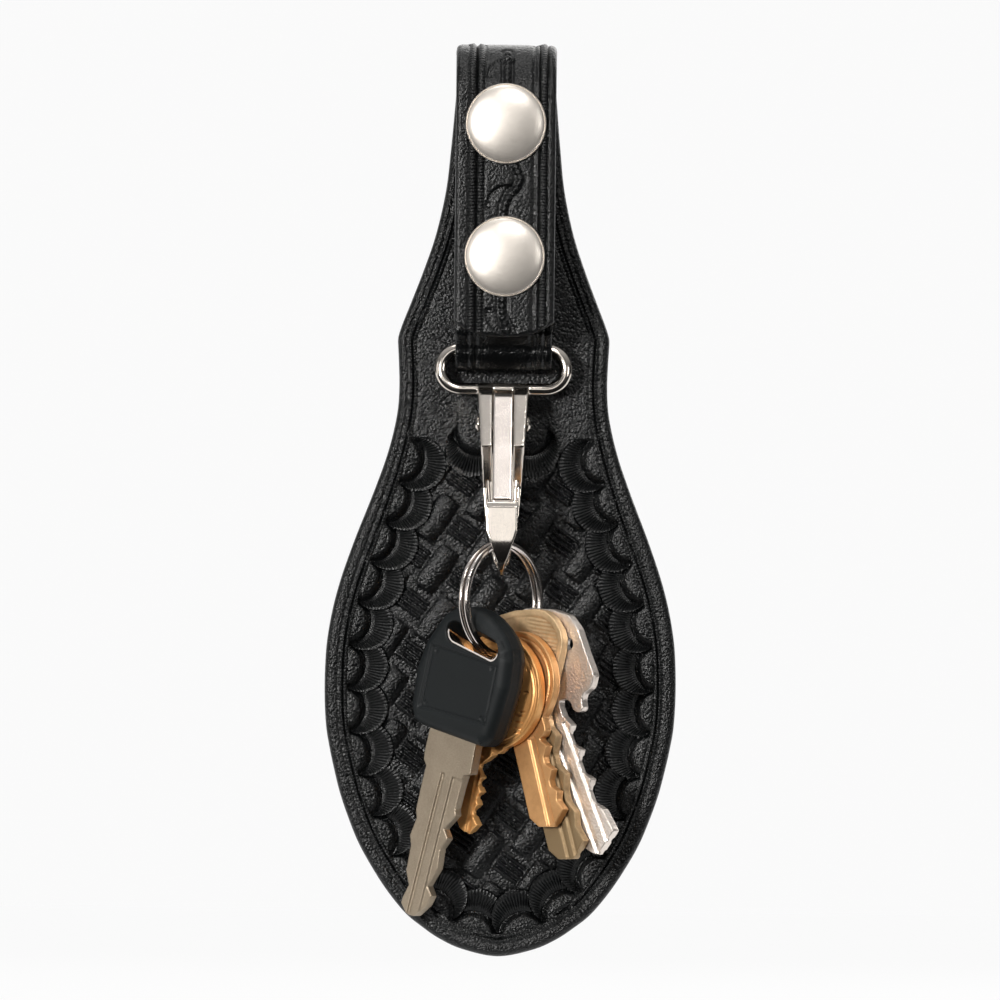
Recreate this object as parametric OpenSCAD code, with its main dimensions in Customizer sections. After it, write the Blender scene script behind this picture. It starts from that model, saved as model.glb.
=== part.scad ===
// Duty-belt key holder: a leather flap with a snap strap, a snap hook, a split ring and five keys.
// Origin at the middle of the belt gap. X to the right, Y to the back, Z up. Millimetres.

/* [Leather] */
// Width of the front strap and the fold
strap_w = 19; // [18:0.5:21]
// Thickness of the flap and front strap leather
leather_t = 3.1; // [2.6:0.1:3.4]
// Width of the inner strap
inner_w = 18.4; // [17.6:0.2:18.8]
// Thickness of the inner strap leather
inner_t = 3; // [2.6:0.1:3.2]
// Clear gap for the belt, front to back
belt_gap = 5; // [4.6:0.2:6]
// Depth of the belt gap's floor below the origin
belt_low = 24.4; // [24:0.2:26]
// Gap between the front strap and the inner strap, where the snaps sit
snap_gap = 2.4; // [2.4:0.1:3]
// Height of the top fold's axis above the origin
fold_z = 20.2; // [18:0.2:24]
// Where along the top fold the front strap bends open, from the back
seam_angle = 135; // [120:1:150]
// Depth of the front strap's lowest point below the origin
strap_drop = 25.6; // [24:0.2:27]
// Rise of the front strap's rounded end at its sides
strap_end_rise = 2.8; // [1:0.1:6]
// Greatest half width of the flap
pad_half_w = 33.4; // [28:0.2:40]
// Depth of the flap's lowest point below the origin
pad_drop = 143.3; // [120:0.5:160]
// Height of the inner strap's free top end above the origin
inner_top = 21; // [19:0.2:22]
// Height of the riveted tab above the rivets
tab_rise = 5; // [4:0.2:7]

/* [Fasteners] */
// Diameter of a snap cap
cap_d = 15.3; // [13:0.1:17]
// Height of a snap cap's dome
cap_h = 2.3; // [1.8:0.1:3]
// Height of the upper snap above the origin
upper_snap_z = 14.9; // [13:0.1:16]
// Depth of the lower snap below the origin
lower_snap_drop = 10.3; // [8:0.1:12]
// Diameter of a snap cap's post
post_d = 4; // [3:0.1:4.4]
// Outer diameter of a snap socket
socket_d = 11.4; // [10.6:0.1:12.4]
// Diameter of a snap stud's head
stud_d = 6.6; // [5.4:0.1:7.6]
// Diameter of an eyelet's flange
eyelet_d = 9.4; // [7:0.1:10]
// Depth of the tab rivets below the origin
rivet_drop = 18.5; // [17:0.1:19]
// Distance between the tab rivets
rivet_pitch = 10; // [8:0.2:11]
// Diameter of a rivet's shank
rivet_d = 2.4; // [2:0.1:3]
// Diameter of a rivet's head
rivet_head_d = 5; // [4:0.1:6]

/* [Snap hook] */
// Diameter of the loop's bar
bar_d = 2.4; // [2:0.05:2.6]
// Width of the flattened loop, outside
loop_w = 26.2; // [25.6:0.2:30]
// Height of the loop, bar middle to bar middle
loop_h = 7.6; // [7:0.1:8.4]
// Depth of the loop's top bar below the origin
bar_drop = 27.9; // [27.4:0.1:29]
// Outer radius of the leather fold round the bar
bar_fold_r = 4.3; // [4:0.05:4.4]
// Forward lean of the hook
hook_lean = 5; // [3:0.5:8]
// Clear depth of the hook's mouth
mouth_d = 9; // [8.6:0.1:10]
// Thickness of the spine
spine_t = 2; // [1.8:0.1:2.4]
// Thickness of the nose and the bend
nose_t = 2; // [1.8:0.1:2.4]
// Half width of the hook's body under the loop
body_half_w = 4.8; // [4.6:0.1:5.4]
// Half width of the nose's flat face
nose_half_w = 2.3; // [2.1:0.1:2.4]
// Length from the loop's top bar to the middle of the bend
bend_drop = 37.2; // [36:0.1:40]
// Length from the loop's top bar to the top of the nose
nose_top = 30; // [29:0.1:31]
// Length from the loop's top bar to the gate's pin
pin_drop = 14.6; // [14:0.1:16]
// Diameter of the gate's pin
pin_d = 1.6; // [1.4:0.05:2]
// Width of the gate
gate_w = 3.6; // [3.2:0.1:3.8]
// Sheet thickness of the gate
gate_t = 0.9; // [0.7:0.05:1]

/* [Ring and keys] */
// Mean radius of the split ring
ring_r = 10.6; // [10.2:0.1:11]
// Radial thickness of the ring's wire
wire_radial = 1.3; // [1.1:0.05:1.4]
// Thickness of each turn of the ring along its axis
wire_axial = 0.84; // [0.7:0.02:0.86]
// Distance between the two turns of the ring
turn_pitch = 1.3; // [1.28:0.02:1.5]
// Turn of the ring away from the flap's face
ring_yaw = 41; // [38:0.5:44]
// Depth of the ring's middle below the origin
ring_drop = 75.5; // [75:0.1:76]
// Thickness of a flat key
key_t = 1.9; // [1.6:0.1:2]
// Thickness of the car key's head
head_t = 7.8; // [7.4:0.1:8]
// Radius of the front round bow
front_bow_r = 11; // [9:0.1:12]
// Radius of the rear round bow
rear_bow_r = 9.5; // [9:0.1:11]
// Width of a flat key's blade
blade_w = 8.6; // [7:0.1:9]
// Width of the ribbed key's bow
ribbed_bow_w = 22; // [20:0.5:24]
// Width of the angular key's bow
angular_bow_w = 25; // [23:0.5:27]
// Width of the car key's head
head_w = 24; // [22:0.5:26]
// Length of the car key's slot
slot_len = 13.6; // [12:0.2:14]
// Height of the car key's slot
slot_h = 4.1; // [3.7:0.1:4.4]
// Diameter of a flat key's hole
hole_d = 6; // [5.8:0.1:6.2]
// Length of the front round key from the ring's wire to its tip
front_len = 35; // [32:0.5:40]
// Length of the rear round key from the ring's wire to its tip
rear_len = 34.5; // [32:0.5:40]
// Length of the ribbed key from the ring's wire to its tip
ribbed_len = 42.1; // [38:0.5:46]
// Length of the angular key from the ring's wire to its tip
angular_len = 44.4; // [40:0.2:48]
// Length of the car key's blade
car_blade_len = 41.1; // [36:0.1:44]
// Width of the car key's blade
car_blade_w = 9.6; // [8:0.1:10]
// Thickness of the car key's blade
car_blade_t = 2.2; // [1.8:0.1:2.6]

/* [Hidden] */
$fn = 48;

// Overrun of a cut past the face that it opens
over = 1;
// Clearance of a part pressed or riveted into its hole
press_gap = 0.03;
// Running clearance of a pin or bar in its bore, on the radius
run_gap = 0.06;
// Clearance between faces that move past each other
face_gap = 0.2;

// Places front to back, worked out from the belt gap
inner_back_y = belt_gap / 2;
pad_front_y = inner_back_y + inner_t;
pad_back_y = pad_front_y + leather_t;
leg_back_y = -belt_gap / 2;
leg_front_y = leg_back_y - inner_t;
strap_back_y = leg_front_y - snap_gap;
strap_front_y = strap_back_y - leather_t;
fold_y = (strap_front_y + pad_back_y) / 2;
fold_r_out = (pad_back_y - strap_front_y) / 2;
fold_r_in = fold_r_out - leather_t;
strap_half = strap_w / 2;

// The loop's top bar
bar_r = bar_d / 2;
bar_y = pad_front_y - bar_fold_r;
bar_z = -bar_drop;
loop_r = loop_h / 2;
loop_half = loop_w / 2 - bar_r - loop_r;

// Flap outline: share of the drop from the fold to the tip, share of the greatest half width
pad_shares = [
    [0, 0.286], [0.06, 0.311], [0.11, 0.338], [0.16, 0.391], [0.2, 0.455],
    [0.24, 0.529], [0.265, 0.577], [0.28, 0.6], [0.288, 0.602], [0.31, 0.596],
    [0.338, 0.592], [0.366, 0.6], [0.395, 0.627], [0.423, 0.665], [0.451, 0.713],
    [0.479, 0.765], [0.507, 0.819], [0.535, 0.869], [0.562, 0.913], [0.59, 0.95],
    [0.618, 0.977], [0.647, 0.994], [0.69, 1], [0.73, 0.991], [0.757, 0.97],
    [0.785, 0.94], [0.813, 0.904], [0.841, 0.856], [0.869, 0.799], [0.897, 0.722],
    [0.924, 0.635], [0.95, 0.53], [0.966, 0.434], [0.98, 0.332], [0.992, 0.2], [1, 0]
];
pad_run = fold_z + pad_drop;
// The flap's edge is stepped in by this much on both faces, for this share of the thickness
pad_edge_in = 0.45;
pad_edge_share = 0.14;
function pad_side(inset) = [for (p = pad_shares)
    [max(p[1] * pad_half_w - inset, 0), fold_z - p[0] * (pad_run - inset)]];
function mirrored(pts) = concat(pts, [for (i = [len(pts) - 2:-1:0]) [-pts[i][0], pts[i][1]]]);

// Corner rounding of an outline: each corner gets its own radius
function unit(v) = v / norm(v);
function turned(p, a) = [p[0] * cos(a) - p[1] * sin(a), p[0] * sin(a) + p[1] * cos(a)];
corner_steps = 5;
function round_corner(a, b, c, r) =
    let (u = unit(a - b), v = unit(c - b), half = acos(max(-1, min(1, u * v))) / 2)
    let (reach = min(r / tan(half), norm(a - b) / 2.1, norm(c - b) / 2.1), rr = reach * tan(half))
    let (m = b + unit(u + v) * rr / sin(half), p = b + u * reach, q = b + v * reach)
    let (p0 = atan2(p[1] - m[1], p[0] - m[0]), q0 = atan2(q[1] - m[1], q[0] - m[0]))
    let (d = q0 - p0, sweep = d > 180 ? d - 360 : d < -180 ? d + 360 : d)
    [for (i = [0:corner_steps]) m + rr * [cos(p0 + sweep * i / corner_steps), sin(p0 + sweep * i / corner_steps)]];
function rounded(pts, r) = [for (i = [0:len(pts) - 1])
    each round_corner(pts[(i + len(pts) - 1) % len(pts)], pts[i], pts[(i + 1) % len(pts)], r)];

// A plate whose outline lies in X and Z, from y0 towards the back
module plate(pts, y0, t) {
    translate([0, y0 + t, 0]) rotate([90, 0, 0]) linear_extrude(t) polygon(pts);
}

// A prism whose outline lies in Y and Z, centred on X
module profile(pts, w) {
    translate([-w / 2, 0, 0]) rotate([90, 0, 90]) linear_extrude(w) polygon(pts);
}

// A round bar along X
module bar(r, w) {
    translate([-w / 2, 0, 0]) rotate([0, 90, 0]) cylinder(r = r, h = w);
}

// A round disc or post along Y, from y0 towards the back
module disc(r, y0, t) {
    translate([0, y0 + t, 0]) rotate([90, 0, 0]) cylinder(r = r, h = t);
}

// A turned shape about Y: outline of radius and depth, depth counted towards the back
module turned_y(pts) {
    rotate([-90, 0, 0]) rotate_extrude() polygon(pts);
}

module at_snap(z) {
    translate([0, 0, z]) children();
}

module both_snaps() {
    at_snap(upper_snap_z) children();
    at_snap(-lower_snap_drop) children();
}

module both_rivets() {
    for (side = [-1, 1]) translate([side * rivet_pitch / 2, 0, -rivet_drop]) children();
}

// The top fold between two angles counted from the back over the top
module fold_arc(from, to) {
    reach = fold_r_out * 2;
    translate([0, fold_y, fold_z]) intersection() {
        difference() {
            bar(fold_r_out, strap_w);
            bar(fold_r_in, strap_w + 2 * over);
        }
        profile(concat([[0, 0]], [for (i = [0:3]) reach * [cos(from + (to - from) * i / 3),
            sin(from + (to - from) * i / 3)]]), strap_w + 2 * over);
    }
}

// Leather flap: three layers, the outer two stepped in, and the back three quarters of the fold
module flap_pad() {
    color([0.07, 0.07, 0.08]) difference() {
        union() {
            edge = leather_t * pad_edge_share;
            plate(mirrored(pad_side(pad_edge_in)), pad_front_y, leather_t);
            plate(mirrored(pad_side(0)), pad_front_y + edge, leather_t - 2 * edge);
            fold_arc(0, seam_angle);
        }
        both_rivets() {
            disc(rivet_d / 2 + press_gap, pad_front_y - over, leather_t + 2 * over);
            disc(burr_d / 2 + press_gap, burr_y, burr_sink + over);
        }
    }
}

// Front strap: the rest of the fold and the run down to a rounded end
end_power = 2.6;
end_steps = 14;
strap_end = [for (i = [-end_steps:end_steps])
    [strap_half * i / end_steps, -strap_drop + strap_end_rise * pow(abs(i / end_steps), end_power)]];
module front_strap() {
    color([0.07, 0.07, 0.08]) difference() {
        union() {
            plate(concat([[strap_half, fold_z], [-strap_half, fold_z]], strap_end), strap_front_y, leather_t);
            fold_arc(seam_angle, 180);
        }
        both_snaps() disc(post_d / 2 + press_gap, strap_front_y - over, leather_t + 2 * over);
    }
}

// Inner strap: a tab on the flap, the fold round the loop's bar, and the leg with the snap studs
leg_bend = bar_drop - belt_low;
bend_steps = 6;
function ease(t) = t * t * (3 - 2 * t);
function leg_line(y0, y1) = [for (i = [0:bend_steps])
    [y0 + (y1 - y0) * ease(i / bend_steps), bar_z + leg_bend * (1 - i / bend_steps)]];
leg_outer = leg_line(leg_front_y, bar_y - bar_fold_r);
leg_inner = leg_line(leg_back_y, bar_y - bar_r - run_gap);
tab_inner = leg_line(inner_back_y, bar_y + bar_r + run_gap);
tab_top = -rivet_drop + tab_rise;
eyelet_t = 0.5;
rivet_head_t = 0.9;
function leg_section() = concat(
    [[leg_front_y, inner_top]], leg_outer, [for (i = [bend_steps:-1:0]) leg_inner[i]], [[leg_back_y, inner_top]]);
function tab_section() = concat(
    [[inner_back_y, tab_top]], tab_inner, [[pad_front_y, bar_z], [pad_front_y, tab_top]]);
module stud_strap() {
    bore = bar_r + run_gap;
    flare = loop_half - over / 2;
    color([0.1, 0.09, 0.09]) difference() {
        union() {
            profile(leg_section(), inner_w);
            profile(tab_section(), inner_w);
            intersection() {
                translate([0, bar_y, bar_z]) bar(bar_fold_r, inner_w);
                translate([-inner_w, bar_y - bar_fold_r, bar_z - bar_fold_r])
                    cube([2 * inner_w, 2 * bar_fold_r, bar_fold_r]);
            }
        }
        translate([0, bar_y, bar_z]) {
            bar(bore, inner_w + 2 * over);
            for (side = [-1, 1]) rotate([0, 90 * side, 0]) translate([0, 0, flare])
                cylinder(r1 = bore, r2 = bore + (inner_w / 2 - flare) / 2, h = inner_w / 2 - flare + over / 4);
        }
        both_snaps() {
            disc(post_d / 2, leg_front_y - over, inner_t + 2 * over);
            disc(eyelet_d / 2 + press_gap, leg_back_y - eyelet_t, eyelet_t + over);
        }
        both_rivets() {
            disc(rivet_d / 2 + press_gap, inner_back_y - over, inner_t + 2 * over);
            disc(rivet_head_d / 2 + press_gap, inner_back_y - over, rivet_head_t + over);
        }
    }
}

// Tab rivets: flat heads set flush in the tab, ends peened over burrs sunk in the flap's back
burr_t = 0.6;
burr_d = 6;
peen_h = 0.4;
burr_sink = burr_t + peen_h + press_gap;
burr_y = pad_back_y - burr_sink;
module pad_rivets() {
    color([0.72, 0.7, 0.66]) both_rivets() {
        disc(rivet_head_d / 2, inner_back_y, rivet_head_t);
        disc(rivet_d / 2, inner_back_y, burr_y + burr_t - inner_back_y);
        translate([0, burr_y + burr_t, 0]) turned_y([[0, 0], [rivet_d * 0.8, 0], [rivet_d / 2, peen_h], [0, peen_h]]);
    }
}

module rivet_burrs() {
    color([0.75, 0.72, 0.66]) both_rivets() difference() {
        disc(burr_d / 2, burr_y, burr_t);
        disc(rivet_d / 2 + press_gap, burr_y - over, burr_t + 2 * over);
    }
}

// Snap cap: a low dome with a thin rim, and a post through the strap
cap_rim = 0.7;
socket_t = 1.6;
socket_floor = 0.3;
dome_steps = 8;
function dome(r, h, rim) = [for (i = [0:dome_steps]) [r * sin(90 * i / dome_steps), -rim - (h - rim) * cos(90 * i / dome_steps)]];
module snap_cap() {
    color([0.8, 0.77, 0.74]) {
        translate([0, strap_front_y, 0]) turned_y(concat(dome(cap_d / 2, cap_h, cap_rim), [[cap_d / 2, 0], [0, 0]]));
        disc(post_d / 2, strap_front_y, leather_t + socket_floor);
    }
}
module upper_snap_cap() { at_snap(upper_snap_z) snap_cap(); }
module lower_snap_cap() { at_snap(-lower_snap_drop) snap_cap(); }

// Snap socket: a ring with a floor, an undercut recess and a lip
lip_h = 0.4;
lip_in = 0.3;
module snap_socket() {
    recess = stud_d / 2 + face_gap + lip_in;
    color([0.76, 0.73, 0.7]) translate([0, strap_back_y, 0]) turned_y([
        [post_d / 2 + press_gap, 0], [socket_d / 2, 0], [socket_d / 2, socket_t - lip_h],
        [socket_d / 2 - lip_h, socket_t], [recess - lip_in, socket_t], [recess, socket_t - lip_h],
        [recess, socket_floor], [post_d / 2 + press_gap, socket_floor]]);
}
module upper_snap_socket() { at_snap(upper_snap_z) snap_socket(); }
module lower_snap_socket() { at_snap(-lower_snap_drop) snap_socket(); }

// Snap stud: a flange on the inner strap and a bulged head, bored for the eyelet
stud_base_t = 0.4;
stud_wall = 0.5;
module snap_stud() {
    rise = snap_gap - socket_floor - face_gap;
    bore = post_d / 2 + press_gap;
    neck = stud_d / 2 - lip_in;
    color([0.76, 0.73, 0.7]) translate([0, leg_front_y, 0]) turned_y([
        [bore, 0], [socket_d / 2 - lip_h, 0], [socket_d / 2 - lip_h, -stud_base_t], [neck, -stud_base_t],
        [stud_d / 2, -stud_base_t - lip_h * 1.5], [stud_d / 2, -rise + lip_h], [neck, -rise], [0, -rise],
        [0, -rise + stud_wall], [bore, -rise + stud_wall]]);
}
module upper_snap_stud() { at_snap(upper_snap_z) snap_stud(); }
module lower_snap_stud() { at_snap(-lower_snap_drop) snap_stud(); }

// Eyelet: a flange flush in the strap's back and a barrel up into the stud
module snap_eyelet() {
    rise = snap_gap - socket_floor - face_gap - 2 * stud_wall;
    barrel = post_d / 2 - press_gap;
    wall = stud_wall;
    color([0.74, 0.71, 0.68]) translate([0, leg_back_y, 0]) turned_y([
        [barrel - wall, 0], [eyelet_d / 2, 0], [eyelet_d / 2, -eyelet_t], [barrel, -eyelet_t],
        [barrel, -inner_t - rise], [barrel - wall, -inner_t - rise]]);
}
module upper_snap_eyelet() { at_snap(upper_snap_z) snap_eyelet(); }
module lower_snap_eyelet() { at_snap(-lower_snap_drop) snap_eyelet(); }

// The hook is drawn upright about the loop's top bar, then leaned
module at_hook() {
    translate([0, bar_y, bar_z]) rotate([-hook_lean, 0, 0]) children();
}
spine_back = bar_r;
spine_front = spine_back - spine_t;
nose_back = spine_front - mouth_d;
nose_front = nose_back - nose_t;
bend_y = spine_front - mouth_d / 2;
bend_in = mouth_d / 2;
// The gate's front face runs straight from under the loop to the nose
gate_top_z = -loop_h - bar_r * 1.15;
gate_top_y = spine_front - mouth_d * 0.42;
gate_low_z = -nose_top + face_gap * 3;
gate_low_y = nose_front + nose_t / 4;
gate_slope = (gate_low_y - gate_top_y) / (gate_low_z - gate_top_z);
function gate_face(z) = gate_top_y + gate_slope * (z - gate_top_z);
pin_r = pin_d / 2;
pin_y = gate_face(-pin_drop) + gate_t + pin_d * 1.3;
cheek_end = pin_drop + 2.8 * pin_d;
cheek_in = gate_w / 2 + face_gap;
rim_w = body_half_w * 0.17;

// Half widths seen from the front: share of the way from the loop to the bend, share of the body
taper_shares = [[0, 1], [0.145, 0.963], [0.4, 0.87], [0.557, 0.8], [0.71, 0.735], [0.84, 0.66],
    [0.93, 0.565], [1.03, 0.42], [1.1, 0.34], [1.17, 0.28], [1.25, 0.2]];
// Nose half widths: share of the way from its top to the bend, share of the nose
nose_shares = [[0, 1.3], [0.75, 1.3], [1, 1.04], [1.2, 0.8], [1.4, 0.6], [1.6, 0.46], [1.95, 0.3]];
function taper_line(inset) = [for (p = taper_shares)
    [p[1] * body_half_w - inset, -loop_h - p[0] * (bend_drop - loop_h)]];
function nose_line() = [for (p = nose_shares)
    [p[1] * nose_half_w, -nose_top - p[0] * (bend_drop - nose_top)]];
function both_sides(pts) = concat(pts, [for (i = [len(pts) - 1:-1:0]) [-pts[i][0], pts[i][1]]]);

// Flattened loop of round bar
module hook_loop() {
    for (z = [0, -loop_h]) translate([0, 0, z]) bar(bar_r, 2 * loop_half);
    for (side = [0, 1]) mirror([side, 0, 0]) translate([loop_half, 0, -loop_r]) rotate([90, 0, 0])
        rotate([0, 0, -90]) rotate_extrude(angle = 180) translate([loop_r, 0]) circle(r = bar_r);
}

// Spine, bend and nose seen from the side
module hook_j() {
    wide = 4 * body_half_w;
    difference() {
        union() {
            profile([[spine_front, -loop_h + bar_r], [spine_back, -loop_h + bar_r * 0.8],
                [spine_back, -bend_drop], [spine_front, -bend_drop]], wide);
            profile([[nose_front, -nose_top - nose_t / 2], [nose_front + nose_t / 4, -nose_top],
                [nose_back, -nose_top], [nose_back, -bend_drop], [nose_front, -bend_drop]], wide);
            intersection() {
                translate([0, bend_y, -bend_drop]) bar(bend_in + nose_t, wide);
                translate([-wide, bend_y - mouth_d, -bend_drop - mouth_d]) cube([2 * wide, 2 * mouth_d, mouth_d]);
            }
        }
        translate([0, bend_y, -bend_drop]) bar(bend_in, wide + 2 * over);
    }
}

// Cheeks seen from the side: from the loop's lower bar to the gate's face, then back to the spine
function cheek_section() = [
    [spine_back, -loop_h], [spine_back, -cheek_end - mouth_d * 0.8], [spine_front, -cheek_end - mouth_d * 0.8],
    [gate_face(-cheek_end) + gate_t, -cheek_end - gate_t], [gate_face(-cheek_end), -cheek_end],
    [gate_top_y, gate_top_z], [gate_top_y + gate_t, gate_top_z + gate_t], [-bar_r, -loop_h]];

module snap_hook() {
    deep = 3 * mouth_d;
    color([0.82, 0.79, 0.74]) at_hook() {
        hook_loop();
        difference() {
            union() {
                intersection() {
                    hook_j();
                    union() {
                        plate(both_sides(concat([[body_half_w / 2, -loop_h + bar_r]], taper_line(0))), bend_y, deep);
                        plate(both_sides(nose_line()), bend_y - deep, deep);
                    }
                }
                intersection() {
                    profile(cheek_section(), 4 * body_half_w);
                    plate(both_sides(taper_line(0)), -deep, 2 * deep);
                }
            }
            translate([-cheek_in, nose_front - over, -cheek_end - mouth_d])
                cube([2 * cheek_in, spine_front - nose_front + over, cheek_end + mouth_d - loop_h + bar_r]);
            plate(both_sides([for (p = taper_line(rim_w)) if (p[1] < -cheek_end && p[1] > -bend_drop + mouth_d / 2) p]),
                spine_front - over, over + spine_t * 0.35);
            translate([0, pin_y, -pin_drop]) bar(pin_r + press_gap, 4 * body_half_w);
        }
    }
}

// Gate: a folded sheet with two ears on the pin and a lip that rests behind the nose
gate_lip = nose_t * 0.7;
module gate() {
    low = gate_low_z;
    lip_y = nose_back + gate_back_gap;
    ear_r = pin_d * 1.1;
    back = [for (z = [gate_top_z - gate_t, low]) [gate_face(z) + gate_t, z]];
    color([0.84, 0.79, 0.76]) at_hook() difference() {
        union() {
            profile([[gate_top_y + gate_t / 3, gate_top_z + gate_t / 3], [gate_face(gate_top_z - gate_t / 2), gate_top_z - gate_t / 2],
                [gate_low_y, low], [lip_y, low], [lip_y, low - gate_lip], [lip_y + gate_t, low - gate_lip],
                [lip_y + gate_t, low + gate_t], back[1] + [0, gate_t * 2], back[0], [gate_top_y + gate_t * 1.2, gate_top_z]], gate_w);
            for (side = [-1, 1]) translate([side * (gate_w - gate_t) / 2, 0, 0]) {
                translate([0, pin_y, -pin_drop]) bar(ear_r, gate_t);
                profile([[pin_y, -pin_drop + ear_r], [pin_y, -pin_drop - ear_r],
                    [gate_face(-pin_drop - 3 * ear_r) + gate_t / 2, -pin_drop - 3 * ear_r],
                    [gate_face(-pin_drop + ear_r) + gate_t / 2, -pin_drop + ear_r]], gate_t);
            }
        }
        translate([0, pin_y, -pin_drop]) bar(pin_r + run_gap, gate_w + 2 * over);
    }
}
gate_back_gap = 0.1;

// Pin with two low heads on the cheeks
pin_head_d = 3.2;
pin_head_t = 0.7;
function taper_at(z) = lookup(-z, [for (p = taper_shares) [loop_h + p[0] * (bend_drop - loop_h), p[1] * body_half_w]]);
module gate_pin() {
    half = taper_at(-pin_drop + pin_head_d / 2);
    color([0.83, 0.78, 0.75]) at_hook() translate([0, pin_y, -pin_drop]) {
        bar(pin_r, 2 * half);
        for (side = [-1, 1]) rotate([0, 90 * side, 0]) translate([0, 0, half]) rotate_extrude() polygon([
            [0, -pin_head_t], [pin_r, -pin_head_t], [pin_r, 0], [pin_head_d / 2, 0], [pin_head_d / 2, pin_head_t / 3],
            [pin_head_d / 3, pin_head_t], [0, pin_head_t]]);
    }
}

// Leaf spring: seated on the spine, its free end just behind the gate
leaf_t = 0.35;
leaf_w = 1.4;
module gate_spring() {
    z0 = -pin_drop - pin_d * 1.6;
    z1 = -cheek_end - mouth_d * 0.3;
    seat = spine_front - press_gap;
    reach = gate_face(z0) + gate_t + gate_back_gap;
    color([0.6, 0.58, 0.56]) at_hook() profile([
        [seat, z1 - leaf_w * 3], [seat, z1], [reach + leaf_t, z0 - leaf_t], [reach, z0 - leaf_t],
        [reach, z0 - leaf_t * 2.4], [seat - leaf_t, z1 - leaf_t], [seat - leaf_t, z1 - leaf_w * 3]], leaf_w);
}

// Split ring: one unbroken wire, two turns, stepping over in the gap between its ends
ring_sides = 6;
ring_step = 15;
step_arc = 44;
ring_sweep = 720 - step_arc;
ring_rings = round(ring_sweep / ring_step);
ring_turn = -25;
bend_world_y = bar_y + bend_y * cos(hook_lean) - bend_drop * sin(hook_lean);
ring_y = bend_world_y;
ring_z = -ring_drop;
function ring_axial(a) = turn_pitch * (min(1, max(0, (a - 360 + step_arc) / step_arc)) - 0.5);
function ring_angle(i) = ring_sweep * i / ring_rings;
function ring_mid(i) = let (a = ring_angle(i)) [ring_r * cos(a + ring_turn), ring_axial(a), ring_r * sin(a + ring_turn)];
wire_section = [[0.5, 0], [0.34, 0.5], [-0.34, 0.5], [-0.5, 0], [-0.34, -0.5], [0.34, -0.5]];
function ring_point(i, s) = let (a = ring_angle(i) + ring_turn, r = ring_r + wire_section[s][0] * wire_radial)
    [r * cos(a), ring_axial(ring_angle(i)) + wire_section[s][1] * wire_axial, r * sin(a)];
ring_points = [for (i = [0:ring_rings]) for (s = [0:ring_sides - 1]) ring_point(i, s)];
ring_faces = concat(
    [for (i = [0:ring_rings - 1]) for (s = [0:ring_sides - 1]) let (a = i * ring_sides + s,
        b = i * ring_sides + (s + 1) % ring_sides) each [[a, b, b + ring_sides], [a, b + ring_sides, a + ring_sides]]],
    [for (s = [1:ring_sides - 2]) [0, s + 1, s]],
    [for (s = [1:ring_sides - 2]) let (e = ring_rings * ring_sides) [e, e + s, e + s + 1]]);
ring_self = min([for (i = [0:ring_rings]) for (j = [i:ring_rings]) if (ring_angle(j) - ring_angle(i) > 180)
    for (s = [0:ring_sides - 1]) for (k = [0:ring_sides - 1]) norm(ring_point(i, s) - ring_point(j, k))]);
echo("least gap between the turns of the split ring", ring_self);

// The ring's own frame: X along its plane to the back right, Y along its axis
module at_ring() {
    translate([0, ring_y, ring_z]) rotate([0, 0, 90 - ring_yaw]) children();
}
module split_ring() {
    color([0.8, 0.75, 0.72]) at_ring() polyhedron(ring_points, ring_faces);
}

// A key's frame: X to the right in its plate, Y through its plate, Z up, origin on the wire at its front face
function wire_z(s) = -sqrt(ring_r * ring_r - s * s);
module at_key(s) {
    translate([0, ring_y, ring_z]) rotate([0, 0, -ring_yaw]) translate([0, s, wire_z(s)]) children();
}
// Along the blade: Z runs up the blade's axis, leaned by tilt to the right
module along(tilt) { rotate([0, -tilt, 0]) children(); }

// Outline of a flat blade: straight left edge, cuts on the right, a slanted tip
// cuts: share of the length from root to tip, share of the width cut away
function blade_outline(w, root, tip, cuts, tip_shift) = concat(
    [[-w / 2, root], [-w / 2, tip + w * 0.38], [-w / 2 + w * 0.2, tip + w * 0.12], [tip_shift, tip]],
    [for (i = [len(cuts) - 1:-1:0]) [w / 2 - cuts[i][1] * w, root + (tip - root) * cuts[i][0]]],
    [[w / 2, root]]);
front_cut_shares = [[0.03, 0.04], [0.12, 0], [0.19, 0.2], [0.27, 0.5], [0.3, 0.5], [0.385, 0.28], [0.44, 0.4], [0.465, 0.4],
    [0.53, 0.18], [0.585, 0.35], [0.61, 0.35], [0.667, 0.22], [0.745, 0.4], [0.775, 0.4], [0.875, 0.09]];
rear_cut_shares = [[0.05, 0], [0.14, 0.2], [0.2, 0.2], [0.27, 0.06], [0.36, 0.22], [0.42, 0.22],
    [0.49, 0.06], [0.58, 0.2], [0.64, 0.2], [0.7, 0.04], [0.78, 0.12], [0.88, 0]];
ribbed_cut_shares = [[0.04, 0], [0.12, 0.18], [0.2, 0.18], [0.27, 0.05], [0.36, 0.24], [0.43, 0.24],
    [0.5, 0.08], [0.6, 0.2], [0.66, 0.2], [0.74, 0.06], [0.82, 0.14], [0.92, 0.02]];
angular_cut_shares = [[0.05, 0.1], [0.14, 0.25], [0.2, 0.25], [0.27, 0.12], [0.31, 0.28], [0.37, 0.28],
    [0.42, 0.12], [0.47, 0.3], [0.54, 0.3], [0.6, 0.12], [0.65, 0.3], [0.72, 0.3], [0.79, 0.1], [0.93, 0.02]];

// One long groove milled in both faces
groove_share = 0.22;
module grooves(w, root, tip, t, places) {
    for (p = places) for (y = [-over, t * (1 - groove_share)])
        translate([p[0] * w - p[1] * w / 2, y, tip - over]) cube([p[1] * w, over + t * groove_share, root - tip]);
}

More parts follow.
